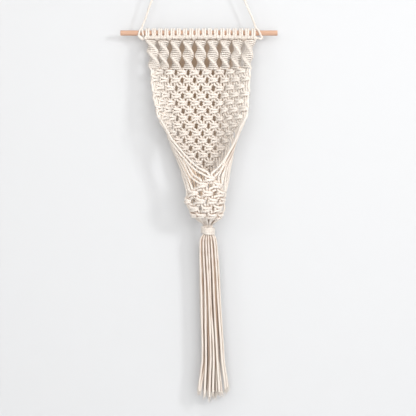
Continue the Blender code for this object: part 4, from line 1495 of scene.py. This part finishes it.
def stage_sheet(name, corners, settings, one_sided=False):
    """A four-cornered sheet of the stage that faces the object."""
    mesh = bpy.data.meshes.new(name)
    mesh.from_pydata(corners, [], [(0, 1, 2, 3)])
    mesh.materials.append(wall_paint(f"{name}_paint", settings, one_sided))
    made = place_in_scene(name, mesh)
    made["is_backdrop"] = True


def laid_cord(line, radius, settings, number):
    """A bundle of one laid cord along a line."""
    rings, lengths, _ = cord_rings(with_radius(line, radius), settings)
    return Bundle().add(rings, lengths, number)


class MACRAME_OT_stage(bpy.types.Operator):
    """Make the wall, the floor, the light and the camera"""

    bl_idname = "macrame.stage"
    bl_label = "Stage"

    def execute(self, context):
        settings = context.scene.macrame.stage
        camera = bpy.data.cameras.new("camera")
        camera.sensor_width = 36.0
        camera.lens = camera.sensor_width * settings.distance / settings.span
        place = (CAMERA_PLACE[0], -settings.distance, CAMERA_PLACE[1])
        context.scene.camera = place_in_scene("camera", camera, place, (np.pi / 2, 0.0, 0.0))
        context.scene.view_settings.view_transform = "Standard"

        wall_y = CAD_BOUNDS[1][1] + WALL_GAP
        left, right = -WALL_SIDE, WALL_SIDE
        wall = ((left, WALL_LOW), (right, WALL_LOW), (right, WALL_HIGH), (left, WALL_HIGH))
        stage_sheet("wall", [(x, wall_y, z) for x, z in wall], settings, one_sided=True)
        floor = ((left, FLOOR_NEAR), (right, FLOOR_NEAR), (right, wall_y), (left, wall_y))
        stage_sheet("floor", [(x, y, FLOOR_HEIGHT) for x, y in floor], settings)

        for name, (setting, share, size, place) in LIGHTS.items():
            lamp = bpy.data.lights.new(name, "AREA")
            lamp.energy, lamp.size, lamp.shape = getattr(settings, setting) * share, size, "DISK"
            lamp.color = LIGHT_COLOUR
            x, y, z = LIGHTS_AIM - np.array(place)
            turn = (float(np.arctan2(np.hypot(x, y), -z)), 0.0, float(np.arctan2(-x, y)))
            place_in_scene(name, lamp, place, turn)
        world = bpy.data.worlds.new("soft_daylight")
        world.use_nodes = True
        sky = world.node_tree.nodes["Background"].inputs
        sky["Color"].default_value = (*SKY_COLOUR, 1.0)
        sky["Strength"].default_value = SKY_STRENGTH
        context.scene.world = world
        return {"FINISHED"}


class MACRAME_OT_hanging_cord(bpy.types.Operator):
    """Make the hanging cord, from one end of the heading over the nail to the other end"""

    bl_idname = "macrame.hanging_cord"
    bl_label = "Hanging Cord"

    def execute(self, context):
        settings = context.scene.macrame
        radius = settings.cord.thickness / MM / 2
        reach = DOWEL_RADIUS + radius + DOWEL_GAP
        half = CORDS * settings.heading.pitch / MM / 2
        left, right = HEADING_MIDDLE - half - CORE_OUT, HEADING_MIDDLE + half + CORE_OUT
        end = heading_drop(left)
        hitch = round_dowel(*evenly(LEFT_HITCH, LEFT_HITCH_STEPS).T, reach)
        wrap = round_dowel(*evenly(RIGHT_WRAP, RIGHT_WRAP_STEPS).T, reach)
        turn = np.radians(NAIL_DEGREES)
        over = np.stack(
            (NAIL_BEND * np.sin(turn), 0 * turn, NAIL_RISE + NAIL_BEND * np.cos(turn)), axis=1
        )
        inward = np.linspace(0.0, CORE_LENGTH, CORE_POINTS)
        core = [
            np.stack((x, np.full_like(x, HEADING_BACK), -heading_drop(x)), axis=1)
            for x in (left + inward[::-1], right - inward)
        ]
        left_bends = (
            (left - 2.5, -2.6, -end - 1.4),
            (left - 6.0, -3.6, -end - 0.2),
            (left - 9.0, -4.6, -end + 3.0),
            (left - 10.9, -5.6, -287.0),
        )
        right_bends = (
            (right + 10.4, -3.0, -end + 0.4),
            (right + 8.6, -2.2, -end - 0.8),
            (right + 5.0, -1.8, -end - 0.5),
        )
        left_leg = evenly((hitch[-1], over[0]), RISE_STEPS)[1:-1]
        right_leg = evenly((over[-1], wrap[0]), RISE_STEPS)[1:-1]
        route = np.vstack(
            (core[0], left_bends, hitch, left_leg, over, right_leg, wrap, right_bends, core[1])
        )
        thick = np.full(len(route), radius)
        thick[: CORE_POINTS - 1] = thick[1 - CORE_POINTS :] = CORE_RADIUS
        thick[CORE_POINTS : CORE_POINTS + len(left_bends) - 1] = CORE_BEND_RADIUS
        made = laid_cord(route, thick, settings.cord, HANGING_NUMBER)
        made = made.finish("hanging_cord_laid", cotton(settings.cord))
        settle(made, "hanging_cord")
        return {"FINISHED"}


class MACRAME_OT_dowel(bpy.types.Operator):
    """Make the dowel"""

    bl_idname = "macrame.dowel"
    bl_label = "Dowel"

    def execute(self, context):
        settings = context.scene.macrame.dowel
        radius, length = settings.diameter / MM / 2, settings.length / MM
        bend, end = DOWEL_ROUNDING, length / 2 - DOWEL_ROUNDING
        ease = np.radians(np.linspace(0.0, 90.0, 6))
        edge = np.stack((-bend * np.cos(ease), radius - bend + bend * np.sin(ease)), axis=1)
        edge = np.vstack(((-bend, 0.02), (-bend, radius * 0.5), edge))
        along = np.linspace(-end, end, 90)[1:-1]
        worn = np.stack((along, radius + 0.03 * np.sin(along / 7.0)), axis=1)
        other_edge = (edge * (-1.0, 1.0))[::-1]
        profile = np.vstack((edge + (-end, 0.0), worn, other_edge + (end, 0.0)))
        turn = 2 * np.pi * np.arange(64) / 64
        x, out = np.broadcast_to(profile[:, :1], (len(profile), 64)), profile[:, 1:]
        rings = np.stack((x, out * np.cos(turn), out * np.sin(turn)), axis=-1)
        bundle = Bundle().add(rings + (DOWEL_LOW + DOWEL_HIGH) / 2, profile[:, 0])
        made = bundle.finish("turned_dowel", pale_wood(settings))
        settle(made, "dowel")
        return {"FINISHED"}


def pocket_piece(stretch, name):
    """One piece of the pocket from its stretches of the doubled cords."""
    paint = cotton(bpy.context.scene.macrame.cord)
    made = Cords.present().bundles[stretch].finish(name, paint)
    settle(made, "macrame_pocket")


class MACRAME_OT_heading(bpy.types.Operator):
    """Make the larks' heads on the dowel and the row of hitches under it"""

    bl_idname = "macrame.heading"
    bl_label = "Heading"

    def execute(self, context):
        pocket_piece("heading", "heading_hitches")
        return {"FINISHED"}


class MACRAME_OT_columns(bpy.types.Operator):
    """Make the nine spiral columns"""

    bl_idname = "macrame.columns"
    bl_label = "Spiral Columns"

    def execute(self, context):
        pocket_piece("columns", "spiral_columns")
        return {"FINISHED"}


class MACRAME_OT_rear_net(bpy.types.Operator):
    """Make the rear net of square knots"""

    bl_idname = "macrame.rear_net"
    bl_label = "Rear Net"

    def execute(self, context):
        pocket_piece("rear_net", "rear_net_knots")
        return {"FINISHED"}


class MACRAME_OT_front(bpy.types.Operator):
    """Make the free cords round the pocket's sides and the knotted front"""

    bl_idname = "macrame.front"
    bl_label = "Sides and Front"

    def execute(self, context):
        pocket_piece("side_cords", "side_cords")
        pocket_piece("front_net", "front_net_knots")
        return {"FINISHED"}


class MACRAME_OT_wrap(bpy.types.Operator):
    """Make the gathering wrap round the neck"""

    bl_idname = "macrame.wrap"
    bl_label = "Gathering Wrap"

    def execute(self, context):
        settings = context.scene.macrame.cord
        part = np.linspace(0.0, 1.0, WRAP_POINTS)
        angle = 2 * np.pi * (WRAP_TURNS * part - WRAP_START)
        last = ramp((part - (1 - TUCKED_END)) / TUCKED_END)
        inward = TUCK_END_IN * last + TUCK_START_IN * ramp(1 - part / TUCKED_START)
        x = NECK[0] + (WRAP_WIDE - inward) * np.sin(angle)
        y = NECK[1] + (WRAP_DEEP - inward) * np.cos(angle)
        drop = WRAP_DROPS[0] + (WRAP_DROPS[1] - WRAP_DROPS[0]) * part
        drop = drop + WRAP_SLANT * np.sin(angle + WRAP_SLANT_FROM) - TUCK_END_UP * last
        radius = settings.thickness / MM / 2 + WRAP_SWELL
        line = np.stack((x, y, -drop), axis=1)
        made = laid_cord(line, radius, settings, WRAP_NUMBER)
        made = made.finish("gathering_wrap_cord", cotton(settings))
        settle(made, "gathering_wrap")
        return {"FINISHED"}


class MACRAME_OT_tassel(bpy.types.Operator):
    """Make the tassel's strands and the loose threads at their cut ends"""

    bl_idname = "macrame.tassel"
    bl_label = "Tassel"

    def execute(self, context):
        settings = context.scene.macrame
        strands, threads = Cords.present().bundles["tassel"], self.threads(settings)
        for bundle, name in ((strands, "tassel_strands"), (threads, "tassel_loose_threads")):
            made = bundle.finish(name, cotton(settings.cord))
            settle(made, "tassel")
        return {"FINISHED"}

    def threads(self, settings):
        """Loose threads at each cut end.

        A thread starts inside the strand, runs on with it, and leans outward with the square of the
        length that it has run, with a slow curl.
        """
        chance = np.random.default_rng(THREAD_SEED)
        ends, along = (np.repeat(part, THREADS, axis=0) for part in Cords.present().tips)
        count = len(ends)
        first = unit(np.cross(along, np.array((0.0, 1.0, 0.0))))
        second = np.cross(along, first)
        angle = chance.uniform(0.0, 2 * np.pi, (count, 1))
        out = first * np.cos(angle) + second * np.sin(angle)
        start = out * chance.uniform(*THREAD_START, (count, 1))
        long = settings.tassel.fray / MM * chance.uniform(*THREAD_SHARE, (count, 1, 1))
        lean = out * chance.uniform(*THREAD_LEAN, (count, 1))
        curl = unit(np.cross(along, out)) * chance.normal(0.0, 1.0, (count, 1))
        run = np.linspace(0.0, 1.0, THREAD_POINTS)
        part = run[None, :, None]
        line = ends[:, None] - along[:, None] * THREAD_INSIDE + start[:, None]
        line = line + along[:, None] * (THREAD_INSIDE + long) * part + lean[:, None] * part**2
        line = line + curl[:, None] * np.sin(np.pi * part)
        spoke = 2 * np.pi * np.arange(3) / 3
        corner = np.cos(spoke)[:, None] * first[:, None] + np.sin(spoke)[:, None] * second[:, None]
        thick = THREAD_RADIUS * (1 - THREAD_TAPER * run)[:, None, None]
        lengths = np.linspace(0.0, 12.0, THREAD_POINTS)
        bundle = Bundle()
        for number in range(count):
            rings = line[number][:, None] + corner[number] * thick
            bundle.add(rings, lengths, THREAD_NUMBER + number % LEGS)
        return bundle


class MACRAME_PT_panel(bpy.types.Panel):
    """The wall pocket's pieces and sizes"""

    bl_idname = "MACRAME_PT_panel"
    bl_label = "Macrame Wall Pocket"
    bl_space_type = "VIEW_3D"
    bl_region_type = "UI"
    bl_category = "Macrame"

    def draw(self, context):
        settings = context.scene.macrame
        for group in settings.__annotations__:
            box = self.layout.box()
            box.label(text=group.title())
            for key in getattr(settings, group).__annotations__:
                box.prop(getattr(settings, group), key)
        for operator in OPERATORS:
            self.layout.operator(operator.bl_idname)


SETTINGS = (
    CordSettings, DowelSettings, HeadingSettings, ColumnSettings,
    NetSettings, TasselSettings, StageSettings, MacrameSettings,
)
OPERATORS = (
    MACRAME_OT_stage, MACRAME_OT_hanging_cord, MACRAME_OT_heading,
    MACRAME_OT_columns, MACRAME_OT_rear_net, MACRAME_OT_front,
    MACRAME_OT_wrap, MACRAME_OT_tassel, MACRAME_OT_dowel,
)


def register():
    for kind in (*SETTINGS, *OPERATORS, MACRAME_PT_panel):
        bpy.utils.register_class(kind)
    bpy.types.Scene.macrame = bpy.props.PointerProperty(type=MacrameSettings)


def unregister():
    del bpy.types.Scene.macrame
    for kind in (MACRAME_PT_panel, *reversed(OPERATORS), *reversed(SETTINGS)):
        bpy.utils.unregister_class(kind)


def main():
    register()
    bpy.ops.macrame.stage()
    bpy.ops.macrame.hanging_cord()
    bpy.ops.macrame.heading()
    bpy.ops.macrame.columns()
    bpy.ops.macrame.rear_net()
    bpy.ops.macrame.front()
    bpy.ops.macrame.wrap()
    bpy.ops.macrame.tassel()
    bpy.ops.macrame.dowel()
    sizes = {
        name: [list(corner) for corner in corners]
        for name, corners in (("cad", CAD_BOUNDS), ("visual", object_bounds()))
    }


if __name__ == "__main__":
    main()
